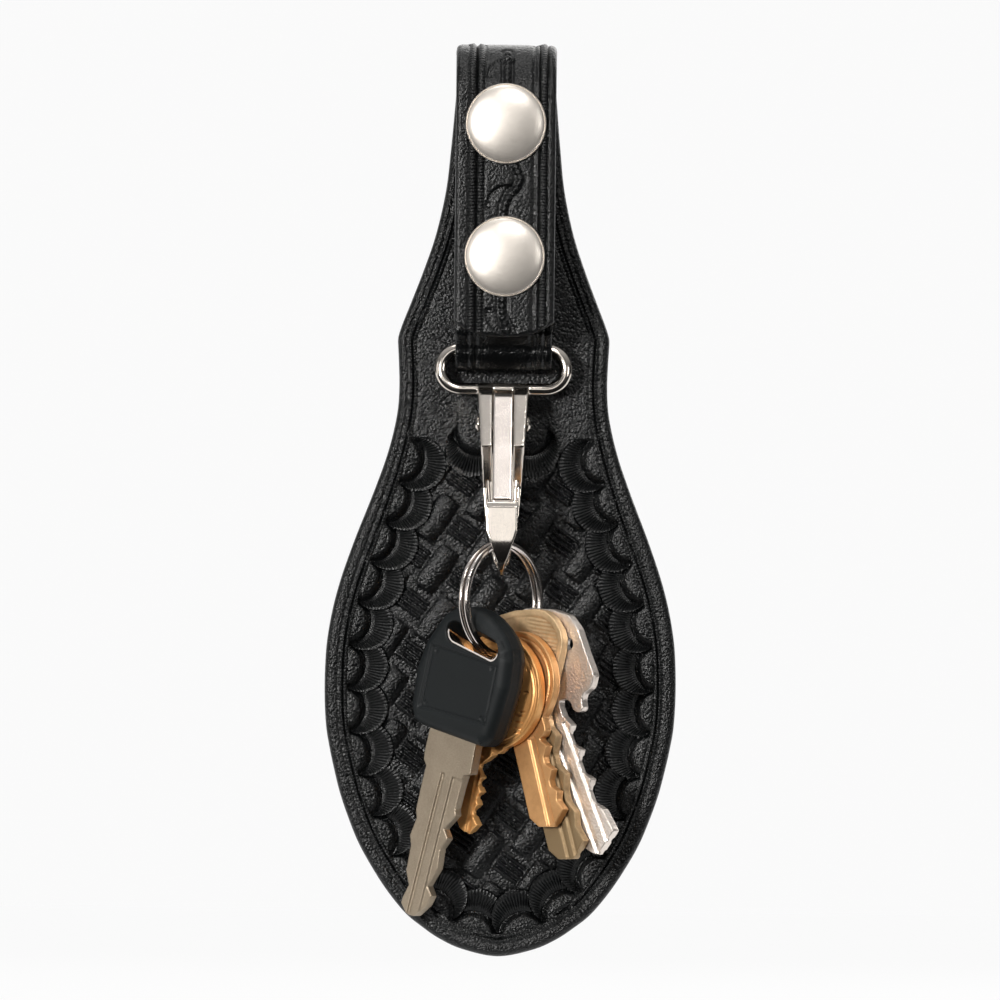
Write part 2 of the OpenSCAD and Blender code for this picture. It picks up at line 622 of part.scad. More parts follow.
// Round bow, a tab, a blade: all one plate. The blade is given by its width and its shift to the right
module round_key(bow_r, bow_drop, seat, len, tilt, tab_w, tab_low, blade, cuts, tip_shift) {
    root = -bow_drop - bow_r * 0.98;
    rim = bow_r * 0.09;
    along(tilt) difference() {
        union() {
            translate([0, 0, -bow_drop]) disc(bow_r, 0, key_t);
            plate([[-tab_w / 2, -bow_drop], [tab_w / 2, -bow_drop], [tab_w / 2, root - tab_low + key_t / 2],
                [tab_w / 2 - key_t / 2, root - tab_low], [-tab_w / 2 + key_t / 2, root - tab_low],
                [-tab_w / 2, root - tab_low + key_t / 2]], 0, key_t);
            translate([blade[1], 0, 0]) plate(blade_outline(blade[0], root + over, -len, cuts, tip_shift), 0, key_t);
        }
        translate([0, 0, seat - hole_d / 2]) disc(hole_d / 2, -over, key_t + 2 * over);
        for (y = [-over, key_t * (1 - groove_share / 2)]) translate([0, 0, -bow_drop]) difference() {
            disc(bow_r - rim, y, over + key_t * groove_share / 2);
            disc(bow_r - rim * 1.5, y - over, 3 * over + key_t);
        }
        translate([blade[1], 0, 0]) grooves(blade[0], root - over, -len, key_t, [[0.06, 0.19]]);
    }
}

// Distance of each key's front face from the ring's middle, along the ring
key_gap = 0.35;
head_s = -head_t - key_gap / 2;
front_s = head_s + head_t + 2 * key_gap;
rear_s = front_s + key_t + key_gap;
ribbed_s = rear_s + key_t + key_gap;
angular_s = ribbed_s + key_t + key_gap;
// Top of the hole above the wire's middle at the front face: the leaning wire is highest at the back face
seat_gap = 0.4;
function seat_at(s) = let (back = s + key_t)
    wire_z(back) - wire_z(s) + wire_radial / 2 / cos(asin(back / ring_r)) + seat_gap;

// Distance of each round bow's middle from the wire, and the width of its tab
front_bow_drop = 6.9;
rear_bow_drop = 5.4;
front_tab_w = 9;
rear_tab_w = 8.8;
front_blade = [blade_w * 0.67, -blade_w * 0.08];
front_tilt = -13.6;
rear_tilt = 17.4;
ribbed_tilt = 18.8;
angular_tilt = 26.5;

module round_key_front() {
    color([0.8, 0.6, 0.34]) at_key(front_s)
        round_key(front_bow_r, front_bow_drop, seat_at(front_s), front_len, front_tilt, front_tab_w, front_bow_r * 0.06,
            front_blade, front_cut_shares, blade_w * 0.07);
}
module round_key_rear() {
    color([0.8, 0.58, 0.32]) at_key(rear_s)
        round_key(rear_bow_r, rear_bow_drop, seat_at(rear_s), rear_len, rear_tilt, rear_tab_w, rear_bow_r * 0.28,
            [blade_w, 0], rear_cut_shares, blade_w * 0.1);
}

// Ribbed key: a bow with a high right shoulder, ribs across it, and a long blade
ribbed_bow_shares = [[-0.273, 0.28], [-0.045, 0.335], [0.182, 0.352], [0.29, 0.34], [0.4, 0.272], [0.48, 0.172],
    [0.507, 0.08], [0.49, -0.02], [0.455, -0.14], [0.37, -0.44], [0.309, -0.636], [0, -0.636], [-0.318, -0.364],
    [-0.432, -0.091], [-0.391, 0.118]];
bow_corner_r = 2.4;
ribbed_blade_w = blade_w * 1.06;
module ribbed_key() {
    seat = seat_at(ribbed_s);
    color([0.8, 0.62, 0.38]) at_key(ribbed_s) difference() {
        union() {
            plate(rounded(ribbed_bow_shares * ribbed_bow_w, bow_corner_r), 0, key_t);
            along(ribbed_tilt) plate(blade_outline(ribbed_blade_w, -ribbed_bow_w * 0.45, -ribbed_len, ribbed_cut_shares,
                ribbed_blade_w * 0.09), 0, key_t);
        }
        translate([0, 0, seat - hole_d / 2]) disc(hole_d / 2, -over, key_t + 2 * over);
        along(ribbed_tilt) grooves(ribbed_blade_w, -ribbed_bow_w * 0.68, -ribbed_len, key_t, [[-0.02, 0.1], [0.2, 0.1]]);
    }
}

// Angular key: a bow with straight sides and a small second hole, a square tab, a toothed blade
angular_bow_shares = [[-0.2, 0.184], [0, 0.248], [0.26, 0.242], [0.425, 0.2], [0.52, 0.1], [0.595, -0.07], [0.685, -0.25],
    [0.655, -0.35], [0.555, -0.41], [0.585, -0.53], [0.49, -0.54], [0.44, -0.43], [0.24, -0.47], [0, -0.4],
    [-0.2, -0.24], [-0.296, -0.04], [-0.28, 0.08]];
angular_corner_r = 1.8;
small_hole_d = 2.2;
angular_hole_d = hole_d * 1.08;
small_hole_shares = [0.428, -0.02];
module angular_key() {
    seat = seat_at(angular_s);
    color([0.8, 0.77, 0.72]) at_key(angular_s) difference() {
        union() {
            plate(rounded(angular_bow_shares * angular_bow_w, angular_corner_r), 0, key_t);
            along(angular_tilt) plate(blade_outline(blade_w, -angular_bow_w * 0.4, -angular_len, angular_cut_shares,
                -blade_w * 0.16), 0, key_t);
        }
        translate([0, 0, seat - hole_d / 2]) disc(angular_hole_d / 2, -over, key_t + 2 * over);
        translate([small_hole_shares[0], 0, small_hole_shares[1]] * angular_bow_w)
            disc(small_hole_d / 2, -over, key_t + 2 * over);
        along(angular_tilt) grooves(blade_w, -angular_bow_w * 0.68, -angular_len, key_t, [[-0.12, 0.14], [0.22, 0.1]]);
    }
}

// Car key: a thick moulded head with a slanted slot, a recessed square, and a blade in its middle
head_shares = [[-0.43, 0.075], [-0.342, 0.175], [-0.237, 0.225], [-0.1, 0.238], [0.02, 0.21], [0.12, 0.155],
    [0.21, 0.08], [0.285, -0.005], [0.335, -0.1], [0.345, -0.2], [0.312, -0.41], [0.215, -0.66], [0.15, -0.81],
    [0.07, -0.875], [-0.556, -0.71], [-0.65, -0.665], [-0.68, -0.54], [-0.62, -0.225], [-0.518, -0.027]];
panel_shares = [[-0.43, -0.065], [0.244, -0.23], [0.124, -0.69], [-0.56, -0.55]];
panel_depth = 0.3;
head_corner_r = 1.2;
slot_tilt = 19;
slot_fall = 22;
slot_low_share = 0.18;
slot_left_share = 0.07;
car_tilt = -17.6;
blade_root = -head_w * 0.625;
tang_rise = head_w * 0.125;
slot_straight = slot_len - slot_h;
module slot_shape(grow, y0, t) {
    rotate([0, slot_tilt, 0]) {
        for (side = [-1, 1]) translate([side * slot_straight / 2, 0, 0]) disc(slot_h / 2 + grow, y0, t);
        translate([-slot_straight / 2, y0, -slot_h / 2 - grow]) cube([slot_straight, t, slot_h + 2 * grow]);
    }
}
module at_slot() {
    translate([-slot_left_share, 0, -slot_low_share] * slot_h) rotate([-slot_fall, 0, 0]) children();
}
module head_slot(grow) {
    at_slot() slot_shape(grow, -head_t, 3 * head_t);
}
tang_w = car_blade_w * 0.8;
shoulder_share = 0.67;
// Car key blade: share of the width to each side, share of the width below the head
car_blade_shares = [[-0.655, 0], [-0.63, 1.05], [-0.6, 1.22], [-0.505, 1.32], [-0.5, 1.78], [-0.48, 2.24], [-0.41, 2.375],
    [-0.47, 2.76], [-0.385, 2.94], [-0.345, 3.45]];
car_right_shares = [[0.395, 3.18], [0.344, 2.78], [0.458, 2.53], [0.31, 2.375], [0.52, 2.03], [0.47, 1.9], [0.47, 1.49],
    [0.49, 1.2], [0.66, 1.13], [0.61, 0.52], [0.61, 0]];
// Car key tip: share of the width to each side, share of the width above the tip
car_tip_shares = [[-0.19, 0.58], [-0.26, 0.31], [-0.27, 0.18], [-0.06, 0], [0.13, 0.03], [0.35, 0.32], [0.41, 0.54], [0.25, 0.7]];
// The blade's axis lies a little to the left of the ring's wire
blade_left_share = 0.115;
module at_blade() {
    along(car_tilt) translate([-car_blade_w * blade_left_share, 0, 0]) children();
}
module car_blade_outline(y0, t) {
    w = car_blade_w;
    tip = blade_root - car_blade_len;
    at_blade() {
        plate(concat([for (p = car_blade_shares) [p[0] * w, blade_root - p[1] * w]],
            [for (p = car_tip_shares) [p[0] * w, tip + p[1] * w]],
            [for (p = car_right_shares) [p[0] * w, blade_root - p[1] * w]]), y0, t);
        plate([[-tang_w / 2, blade_root + tang_rise * 2], [tang_w / 2, blade_root + tang_rise * 2],
            [tang_w / 2, blade_root - tang_rise], [-tang_w / 2, blade_root - tang_rise]], y0, t);
    }
}
blade_y = head_t / 2;
module car_key_head() {
    color([0.1, 0.1, 0.11]) at_key(head_s) difference() {
        plate(rounded(head_shares * head_w, head_corner_r), 0, head_t);
        head_slot(0);
        plate(panel_shares * head_w, -over, over + panel_depth);
        at_blade() translate([-tang_w / 2 - press_gap, blade_y - car_blade_t / 2 - press_gap, blade_root - 2 * tang_rise])
            cube([tang_w + 2 * press_gap, car_blade_t + 2 * press_gap, 4 * tang_rise + press_gap]);
        at_blade() translate([-car_blade_w * shoulder_share, blade_y - car_blade_t / 2 - press_gap, blade_root - car_blade_w])
            cube([2 * car_blade_w * shoulder_share, car_blade_t + 2 * press_gap, car_blade_w + press_gap]);
    }
}
module car_key_blade() {
    color([0.78, 0.74, 0.68]) at_key(head_s) difference() {
        car_blade_outline(blade_y - car_blade_t / 2, car_blade_t);
        at_blade() grooves(car_blade_w, blade_root - car_blade_w * 1.2, blade_root - car_blade_len, car_blade_t,
            [[-0.03, 0.08], [0.37, 0.3]]);
    }
}
// Metal liner on the lower side of the slot
liner_t = 0.4;
module slot_liner() {
    color([0.8, 0.76, 0.72]) at_key(head_s) intersection() {
        difference() {
            head_slot(-press_gap);
            head_slot(-press_gap - liner_t);
        }
        at_slot() rotate([0, slot_tilt, 0])
            translate([-slot_len, -head_t, -slot_h]) cube([2 * slot_len, 3 * head_t, slot_h]);
        translate([-slot_len, liner_t, -2 * head_t]) cube([2 * slot_len, head_t - 2 * liner_t, 4 * head_t]);
    }
}

flap_pad();
stud_strap();
pad_rivets();
rivet_burrs();
front_strap();
upper_snap_cap();
lower_snap_cap();
upper_snap_socket();
lower_snap_socket();
upper_snap_stud();
lower_snap_stud();
upper_snap_eyelet();
lower_snap_eyelet();
snap_hook();
gate();
gate_pin();
gate_spring();
split_ring();
car_key_head();
car_key_blade();
slot_liner();
round_key_front();
round_key_rear();
ribbed_key();
angular_key();
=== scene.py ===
import math

import bmesh
import bpy
import numpy as np
from mathutils import Matrix, Vector


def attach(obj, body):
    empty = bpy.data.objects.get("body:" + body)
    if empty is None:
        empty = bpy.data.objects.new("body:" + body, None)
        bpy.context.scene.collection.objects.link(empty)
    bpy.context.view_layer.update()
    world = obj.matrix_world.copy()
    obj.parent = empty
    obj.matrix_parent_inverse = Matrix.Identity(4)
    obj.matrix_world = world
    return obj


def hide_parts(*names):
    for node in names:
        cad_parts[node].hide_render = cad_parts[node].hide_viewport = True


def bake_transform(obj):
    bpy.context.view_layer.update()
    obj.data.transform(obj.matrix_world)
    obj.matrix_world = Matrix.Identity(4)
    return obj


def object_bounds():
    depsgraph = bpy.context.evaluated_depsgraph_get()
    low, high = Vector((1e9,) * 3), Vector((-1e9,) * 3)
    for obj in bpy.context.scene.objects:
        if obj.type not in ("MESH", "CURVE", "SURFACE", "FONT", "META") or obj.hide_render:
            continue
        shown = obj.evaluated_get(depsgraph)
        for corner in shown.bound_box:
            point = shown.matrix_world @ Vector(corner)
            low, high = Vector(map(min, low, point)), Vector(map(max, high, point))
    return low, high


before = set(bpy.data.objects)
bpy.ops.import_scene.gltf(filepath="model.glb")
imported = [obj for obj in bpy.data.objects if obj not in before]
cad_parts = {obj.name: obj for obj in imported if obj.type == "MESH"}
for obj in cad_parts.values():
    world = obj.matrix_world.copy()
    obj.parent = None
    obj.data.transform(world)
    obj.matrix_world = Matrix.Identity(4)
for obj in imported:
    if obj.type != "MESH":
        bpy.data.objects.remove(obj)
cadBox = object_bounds()
print("frame loaded,", len(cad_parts), "nodes")

mm = 0.001
tinyGap = 1e-7


# small helpers for shader nodes

class Wire:
    def __init__(self, finish, socket):
        self.finish = finish
        self.socket = socket

    def maths(self, operation, *values):
        return self.finish.add("Math", {"operation": operation}, dict(enumerate(values)))

    def __add__(self, other):
        return self.maths("ADD", self, other)

    def __radd__(self, other):
        return self.maths("ADD", other, self)

    def __sub__(self, other):
        return self.maths("SUBTRACT", self, other)

    def __rsub__(self, other):
        return self.maths("SUBTRACT", other, self)

    def __mul__(self, other):
        return self.maths("MULTIPLY", self, other)

    def __rmul__(self, other):
        return self.maths("MULTIPLY", other, self)

    def sine(self):
        return self.maths("SINE", self)

    def clamped(self, low=0.0, high=1.0):
        return self.maths("MAXIMUM", self.maths("MINIMUM", self, high), low)


class Finish:
    # the nodes of a new material, or of the world that is handed in
    def __init__(self, name, world=None):
        self.material = world or bpy.data.materials.new(name)
        self.material.use_nodes = True
        self.tree = self.material.node_tree
        self.tree.nodes.clear()
        self.coords = self.add("TexCoord", out="Object")

    def add(self, kind, settings=None, values=None, out=0):
        node = self.tree.nodes.new("ShaderNode" + kind)
        for key, value in (settings or {}).items():
            if key == "stops":
                ramp = node.color_ramp.elements
                while len(ramp) < len(value):
                    ramp.new(0.5)
                for element, (place, level) in zip(ramp, value):
                    element.position, element.color = place, (level, level, level, 1)
            else:
                setattr(node, key, value)
        for key, value in (values or {}).items():
            if isinstance(value, Wire):
                self.tree.links.new(value.socket, node.inputs[key])
            else:
                node.inputs[key].default_value = value
        return Wire(self, node.outputs[out])

    def mixed(self, factor, first, second):
        values = {0: factor, 6: (*first, 1), 7: (*second, 1)}
        return self.add("Mix", {"data_type": "RGBA"}, values, out=2)

    def noise(self, sizeMm, detail=2.0, roughness=0.5, coords=None):
        return self.add("TexNoise", {}, {"Vector": coords or self.coords, "Scale": 1 / mm / sizeMm,
                                         "Detail": detail, "Roughness": roughness})

    def pebbles(self, sizeMm):
        return self.add("TexVoronoi", {}, {"Vector": self.coords, "Scale": 1 / mm / sizeMm})

    def stretched(self, x, y, z, turn=(0, 0, 0)):
        return self.add("Mapping", {}, {"Vector": self.coords, "Scale": (x, y, z), "Rotation": turn})

    def attribute(self, name):
        return self.add("Attribute", {"attribute_name": name}, out="Fac")

    def bump(self, height, depthMm, strength=1.0, below=None):
        values = {"Height": height, "Distance": depthMm * mm, "Strength": strength}
        if below:
            values["Normal"] = below
        return self.add("Bump", {}, values)

    def surface(self, **sockets):
        names = {"colour": "Base Color", "metallic": "Metallic", "roughness": "Roughness", "normal": "Normal",
                 "specular": "Specular IOR Level"}
        self.output(self.add("BsdfPrincipled", {}, {names[key]: value for key, value in sockets.items()}))
        return self.material

    def output(self, shader, kind="OutputMaterial"):
        node = self.tree.nodes.new("ShaderNode" + kind)
        self.tree.links.new(shader.socket, node.inputs["Surface"])


# finishes

leatherLook = {"black": (0.0015, 0.0018, 0.0020), "grey": (0.0065, 0.0072, 0.0075), "specular": 0.36,
               "wideMm": 7.0, "smallMm": 1.1, "grainMm": 0.5, "fineMm": 0.14,
               "grainDeepMm": 0.13, "smallDeepMm": 0.06, "fineDeepMm": 0.02, "beadDeepMm": 0.06}


def blackLeather(name, beads=False, roughness=0.3, grain=1.0):
    s = leatherLook
    f = Finish(name)
    wide = f.noise(s["wideMm"], 3)
    small = f.noise(s["smallMm"], 3)
    apart = f.pebbles(s["grainMm"])
    apart2 = f.pebbles(s["grainMm"] / 2)
    pebble, pebble2 = 1 - apart * apart * 1.7, 1 - apart2 * apart2 * 1.5
    fine = f.noise(s["fineMm"], 2)
    worn = f.attribute("worn")
    tint = (wide * 0.6 + small * 0.6 - 0.45).clamped()
    # the mark greys rubbed edges and raised tops as wear, and leaves the stamped hollows black as painted
    # shade
    colour = f.mixed((tint * 0.6 + worn * 0.45).clamped(), s["black"], s["grey"])
    normal = f.bump(pebble, s["grainDeepMm"] * grain)
    normal = f.bump(pebble2 * 0.8 + small * 0.15, s["smallDeepMm"] * grain, 1.0, normal)
    normal = f.bump(fine, s["fineDeepMm"], 0.7, normal)
    if beads:
        bead = (f.attribute("bead") * math.tau).sine() * f.attribute("beadMask")
        normal = f.bump(bead, s["beadDeepMm"], 1.0, normal)
    rough = (small * 0.16 + (roughness - 0.1) + wide * 0.04).clamped(0.12, 0.9)
    return f.surface(colour=colour, roughness=rough, normal=normal, specular=s["specular"])


def polishedNickel(name, warmth=(0.80, 0.735, 0.665), roughness=0.13, waves=0.09):
    f = Finish(name)
    wide = f.noise(5.0, 2)
    fine = f.noise(0.5, 3)
    scratches = f.noise(0.28, 2, coords=f.stretched(1, 1, 0.12))
    colour = f.mixed((wide * 1.4 - 0.35).clamped(), warmth, tuple(c * 0.86 for c in warmth))
    rough = (fine * 0.10 + scratches * 0.10 + (roughness - 0.08)).clamped(0.05, 0.8)
    normal = f.bump(wide, waves, 0.5)
    normal = f.bump(scratches, 0.006, 0.5, normal)
    return f.surface(colour=colour, metallic=1.0, roughness=rough, normal=normal)


def satinNickel(name, colour, roughness=0.37, metallic=1.0):
    f = Finish(name)
    fine = f.noise(0.10, 2)
    brushed = f.noise(0.30, 3, coords=f.stretched(0.25, 1, 2.2, (0, 0.6, 0)))
    wide = f.noise(3.5, 2)
    tint = f.mixed((wide * 1.2 - 0.3).clamped(), colour, tuple(c * 0.9 for c in colour))
    rough = (brushed * 0.16 + fine * 0.08 + (roughness - 0.12)).clamped(0.1, 0.9)
    normal = f.bump(fine + brushed * 0.8, 0.012, 0.6)
    return f.surface(colour=tint, metallic=metallic, roughness=rough, normal=normal)


def wornBrass(name, bright, dull, roughness=0.4, metallic=0.72):
    f = Finish(name)
    wide = f.noise(4.0, 4, 0.6)
    spots = f.noise(0.9, 3)
    scratch = f.noise(0.35, 3, coords=f.stretched(1, 1, 0.15, (0, 0.5, 0)))
    worn = f.attribute("worn")
    # noise gives tarnish, worn edges come out lighter, and a negative mark turns the ribbed key's lower blade
    # dull as painted shade
    stainAndShade = (wide * 1.5 - 0.5 + spots * 0.3 - worn * 0.7).clamped()
    rough = (stainAndShade * 0.16 + scratch * 0.14 + (roughness - 0.1)).clamped(0.1, 0.9)
    normal = f.bump(scratch, 0.010, 0.6)
    normal = f.bump(f.noise(0.22, 3), 0.03, 0.5, normal)
    return f.surface(colour=f.mixed(stainAndShade, bright, dull), metallic=metallic, roughness=rough, normal=normal,
                     specular=0.6)


def grainySilver(name, bright, dull, grain, roughness, grainMm):
    f = Finish(name)
    wide = f.noise(5.0, 3)
    spots = f.noise(grainMm * 1.6, 3)
    cells = f.pebbles(grainMm)
    colour = f.mixed((wide * 0.9 - 0.35 + spots * 0.6 - 0.1).clamped(), bright, dull)
    rough = (spots * 0.2 + (roughness - 0.1)).clamped(0.1, 0.9)
    normal = f.bump(cells, grain, 0.7)
    normal = f.bump(spots, grain * 0.5, 0.6, normal)
    return f.surface(colour=colour, metallic=0.85, roughness=rough, normal=normal, specular=0.6)


def blackPlastic(name, dark, pale):
    f = Finish(name)
    wide = f.noise(8.0, 2)
    fine = f.noise(0.22, 3)
    worn = f.attribute("worn")
    rough = (fine * 0.14 + 0.45 + wide * 0.06).clamped(0.2, 0.9)
    return f.surface(colour=f.mixed((wide * 0.5 + worn * 0.4).clamped(), dark, pale), roughness=rough,
                     normal=f.bump(fine, 0.022, 0.7), specular=0.3)


finishRecipes = {
    "flapLeather": (blackLeather, dict(beads=True, grain=0.6)),
    "tooledLeather": (blackLeather, dict(roughness=0.28, grain=0.55)),
    "fanLeather": (blackLeather, dict(grain=0.2)),
    "strapLeather": (blackLeather, dict(beads=True, roughness=0.31, grain=0.4)),
    "innerLeather": (blackLeather, dict(roughness=0.25, grain=0.3)),
    "hookNickel": (polishedNickel, dict()),
    "gateNickel": (polishedNickel, dict(warmth=(0.84, 0.765, 0.715), roughness=0.2)),
    "ringNickel": (polishedNickel, dict(warmth=(0.80, 0.735, 0.69), roughness=0.16)),
    "capNickel": (satinNickel, dict(colour=(0.83, 0.77, 0.70), metallic=0.76)),
    "plainNickel": (satinNickel, dict(colour=(0.68, 0.65, 0.61), roughness=0.32)),
    "springSteel": (satinNickel, dict(colour=(0.52, 0.51, 0.50), roughness=0.4)),
    "frontBrass": (wornBrass, dict(bright=(0.88, 0.47, 0.17), dull=(0.54, 0.23, 0.065), metallic=0.6)),
    "rearBrass": (wornBrass, dict(bright=(0.76, 0.42, 0.18), dull=(0.44, 0.22, 0.08))),
    # the ribbed brass's dull colour also serves as painted shade on the lower blade
    "ribbedBrass": (wornBrass, dict(bright=(0.86, 0.60, 0.34), dull=(0.25, 0.17, 0.085), roughness=0.38,
                                    metallic=0.5)),
    "angularSilver": (grainySilver, dict(bright=(0.97, 0.88, 0.80), dull=(0.62, 0.53, 0.46), grain=0.10,
                                         roughness=0.34, grainMm=0.5)),
    "bladeSteel": (grainySilver, dict(bright=(0.43, 0.355, 0.265), dull=(0.28, 0.225, 0.165), grain=0.05,
                                      roughness=0.45, grainMm=0.3)),
    "headPlastic": (blackPlastic, dict(dark=(0.0038, 0.0054, 0.0060), pale=(0.009, 0.012, 0.013))),
}
finishes = {name: recipe(name, **settings) for name, (recipe, settings) in finishRecipes.items()}
print("finishes made,", len(finishes))


# small helpers for meshes

def smoothStep(t):
    t = np.clip(t, 0, 1)
    return t * t * (3 - 2 * t)


def bell(t, half):
    return np.exp(-(t / half) ** 2)


def vectorsOf(rows, name):
    flat = np.empty(len(rows) * 3, np.float32)
    rows.foreach_get(name, flat)
    return flat.reshape(-1, 3).astype(float)


def pointsOf(mesh):
    return vectorsOf(mesh.vertices, "co")


def setPoints(mesh, points):
    mesh.vertices.foreach_set("co", points.astype(np.float32).ravel())
    mesh.update()


def setAttribute(mesh, name, values):
    layer = mesh.attributes.get(name) or mesh.attributes.new(name, "FLOAT", "POINT")
    layer.data.foreach_set("value", np.asarray(values, np.float32))


def editable(mesh):
    bm = bmesh.new()
    bm.from_mesh(mesh)
    return bm


def written(bm, mesh):
    bm.to_mesh(mesh)
    bm.free()
    return mesh


def joinedMesh(bm, name):
    return written(bm, bpy.data.meshes.new(name))


def gridMesh(name, across, along):
    # a flat grid, and each point's share of the way across and along it
    bm = bmesh.new()
    bmesh.ops.create_grid(bm, x_segments=across, y_segments=along, size=0.5)
    mesh = joinedMesh(bm, name)
    points = pointsOf(mesh)
    return mesh, points[:, 0] + 0.5, points[:, 1] + 0.5


def lineNumbers(share):
    # the grid line that each point lies on
    lines = len(np.unique(np.round(share, 6)))
    return np.round(share * (lines - 1)).astype(int)


def merged(bm, distance=tinyGap):
    bmesh.ops.remove_doubles(bm, verts=bm.verts, dist=distance)


def outward(bm):
    bmesh.ops.recalc_face_normals(bm, faces=bm.faces)


def boundary(bm):
    return [edge for edge in bm.edges if edge.is_boundary]


def closedRims(mesh, mergeAt, rimsOf):
    # merges doubled points and closes each rim that rimsOf names
    bm = editable(mesh)
    merged(bm, mergeAt)
    for rim in rimsOf(boundary(bm)):
        bmesh.ops.contextual_create(bm, geom=rim)
    outward(bm)
    return written(bm, mesh)


def closedBehind(mesh, depthMm):
    # gives an open sheet a wall and a plain back
    bm = editable(mesh)
    outward(bm)
    wall = bmesh.ops.extrude_edge_only(bm, edges=boundary(bm))["geom"]
    low = [part for part in wall if isinstance(part, bmesh.types.BMVert)]
    bmesh.ops.translate(bm, verts=low, vec=(0, depthMm * mm, 0))
    rim = [part for part in wall if isinstance(part, bmesh.types.BMEdge) and part.is_boundary]
    bmesh.ops.contextual_create(bm, geom=rim)
    outward(bm)
    return written(bm, mesh)


def placed(name, data):
    item = bpy.data.objects.new(name, data)
    bpy.context.scene.collection.objects.link(item)
    return item


def finished(name, mesh, body, finish, replaces, sharpDegrees=None):
    piece = placed(name, mesh)
    mesh.polygons.foreach_set("use_smooth", [True] * len(mesh.polygons))
    if sharpDegrees:
        mesh.set_sharp_from_angle(angle=math.radians(sharpDegrees))
    mesh.materials.clear()
    mesh.materials.append(finishes[finish])
    if body:
        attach(piece, body)
    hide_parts(replaces)
    print("piece", name, len(mesh.polygons), "faces")
    return piece


def turnedAbout(axis, degrees):
    return Matrix.Rotation(math.radians(degrees), 4, axis)


# camera, light and stage

viewCamera = {"distance": 6.0, "aimX": -0.0004, "aimZ": -0.0565, "leanDegrees": 0.6, "frameWidth": 0.19,
              "sensor": 36.0, "clip": (0.05, 20)}


def makeCamera():
    s = viewCamera
    data = bpy.data.cameras.new("photoCamera")
    data.sensor_width = s["sensor"]
    data.lens = s["sensor"] * s["distance"] / s["frameWidth"]
    data.clip_start, data.clip_end = s["clip"]
    camera = placed("photoCamera", data)
    place = Matrix.Translation((s["aimX"], -s["distance"], s["aimZ"]))
    camera.matrix_world = place @ turnedAbout("X", 90) @ turnedAbout("Z", s["leanDegrees"])
    bpy.context.scene.camera = camera


lampColour = (1.0, 0.985, 0.965)
lampAim = (0, 0, -0.06)
lamps = [
    {"name": "keyLamp", "at": (-0.56, -1.08, 0.08), "size": 0.18, "watts": 11.5},
    {"name": "overLamp", "at": (0.2, -1.0, 0.7), "size": 0.2, "watts": 4.0},
    {"name": "sideLamp", "at": (-1.1, -0.3, 0.1), "size": 0.6, "watts": 1.2},
    {"name": "frontLamp", "at": (0.0, -1.2, 0.16), "size": 0.3, "watts": 0.35},
    {"name": "fillLamp", "at": (0.9, -0.9, 0.1), "size": 0.3, "watts": 1.5},
    {"name": "topLamp", "at": (-0.1, -0.1, 0.9), "size": 0.4, "watts": 2.0},
    {"name": "backLamp", "at": (0.3, 0.9, 0.5), "size": 0.8, "watts": 4.0},
]


def makeLamps():
    for lamp in lamps:
        data = bpy.data.lights.new(lamp["name"], "AREA")
        data.energy, data.size, data.color = lamp["watts"], lamp["size"], lampColour
        light = placed(lamp["name"], data)
        light.location = lamp["at"]
        aim = Vector(lampAim) - Vector(lamp["at"])
        light.rotation_euler = aim.to_track_quat("-Z", "Y").to_euler()


# the room's light from below to above, by the share of the height
roomLight = {"strength": 0.6, "stops": [(0.0, 0.012), (0.36, 0.018), (0.5, 0.03), (0.62, 0.07), (0.76, 0.4),
                                        (0.88, 0.7), (1.0, 0.7)]}
white = (1, 1, 1, 1)


def makeWorld():
    world = bpy.data.worlds.new("studio")
    bpy.context.scene.world = world
    f = Finish("studio", world)
    height = f.add("SeparateXYZ", {}, {0: f.add("TexCoord", out="Generated")}, out="Z")
    level = f.add("ValToRGB", {"stops": roomLight["stops"]}, {0: height * 0.5 + 0.5})
    soft = f.add("Background", {}, {0: level, 1: roomLight["strength"]})
    bright = f.add("Background", {}, {0: white, 1: 1.0})
    camera, passing = (f.add("LightPath", out=ray) for ray in ("Is Camera Ray", "Is Transmission Ray"))
    seen = camera.maths("MAXIMUM", camera, passing)
    f.output(f.add("MixShader", {}, {0: seen, 1: soft, 2: bright}), "OutputWorld")


stageShape = {"floorHalf": 1.2, "floorY": 1.17, "floorGap": 0.02, "wallHalf": 3.0, "wallY": 2.2, "wallZ": 1.5,
              "level": 0.8, "glow": 0.94}


def paleStage(name):
    f = Finish(name)
    level = stageShape["level"]
    rays = [f.add("LightPath", out=ray) for ray in ("Is Camera Ray", "Is Glossy Ray", "Is Transmission Ray")]
    path = (rays[0] + rays[1] + rays[2]).clamped()
    cloth = f.add("BsdfDiffuse", {}, {"Color": (level, level, level, 1)})
    glow = f.add("Emission", {}, {"Color": white, "Strength": 1.0})
    pale = f.add("MixShader", {}, {0: path * stageShape["glow"], 1: cloth, 2: glow})
    # seen from its back, a stage piece is clear, so that it hides nothing
    back = f.add("NewGeometry", out="Backfacing") * rays[0]
    clear = f.add("BsdfTransparent", {}, {"Color": white})
    f.output(f.add("MixShader", {}, {0: back, 1: pale, 2: clear}))
    return f.material


def makeStage():
    s = stageShape
    for name, half, turn, at in (
            ("floor", s["floorHalf"], 0, (0, s["floorY"], cadBox[0].z - s["floorGap"])),
            ("backdrop", s["wallHalf"], 90, (0, s["wallY"], s["wallZ"]))):
        bm = bmesh.new()
        bmesh.ops.create_grid(bm, x_segments=2, y_segments=2, size=half, matrix=turnedAbout("X", turn))
        bmesh.ops.translate(bm, verts=bm.verts, vec=at)
        item = placed(name, joinedMesh(bm, name))
        item.data.materials.append(paleStage(name + "Pale"))


makeCamera()
makeLamps()
makeWorld()
makeStage()
bpy.context.scene.view_settings.view_transform = "Standard"
print("camera, lamps and stage set")


# the flap's outline

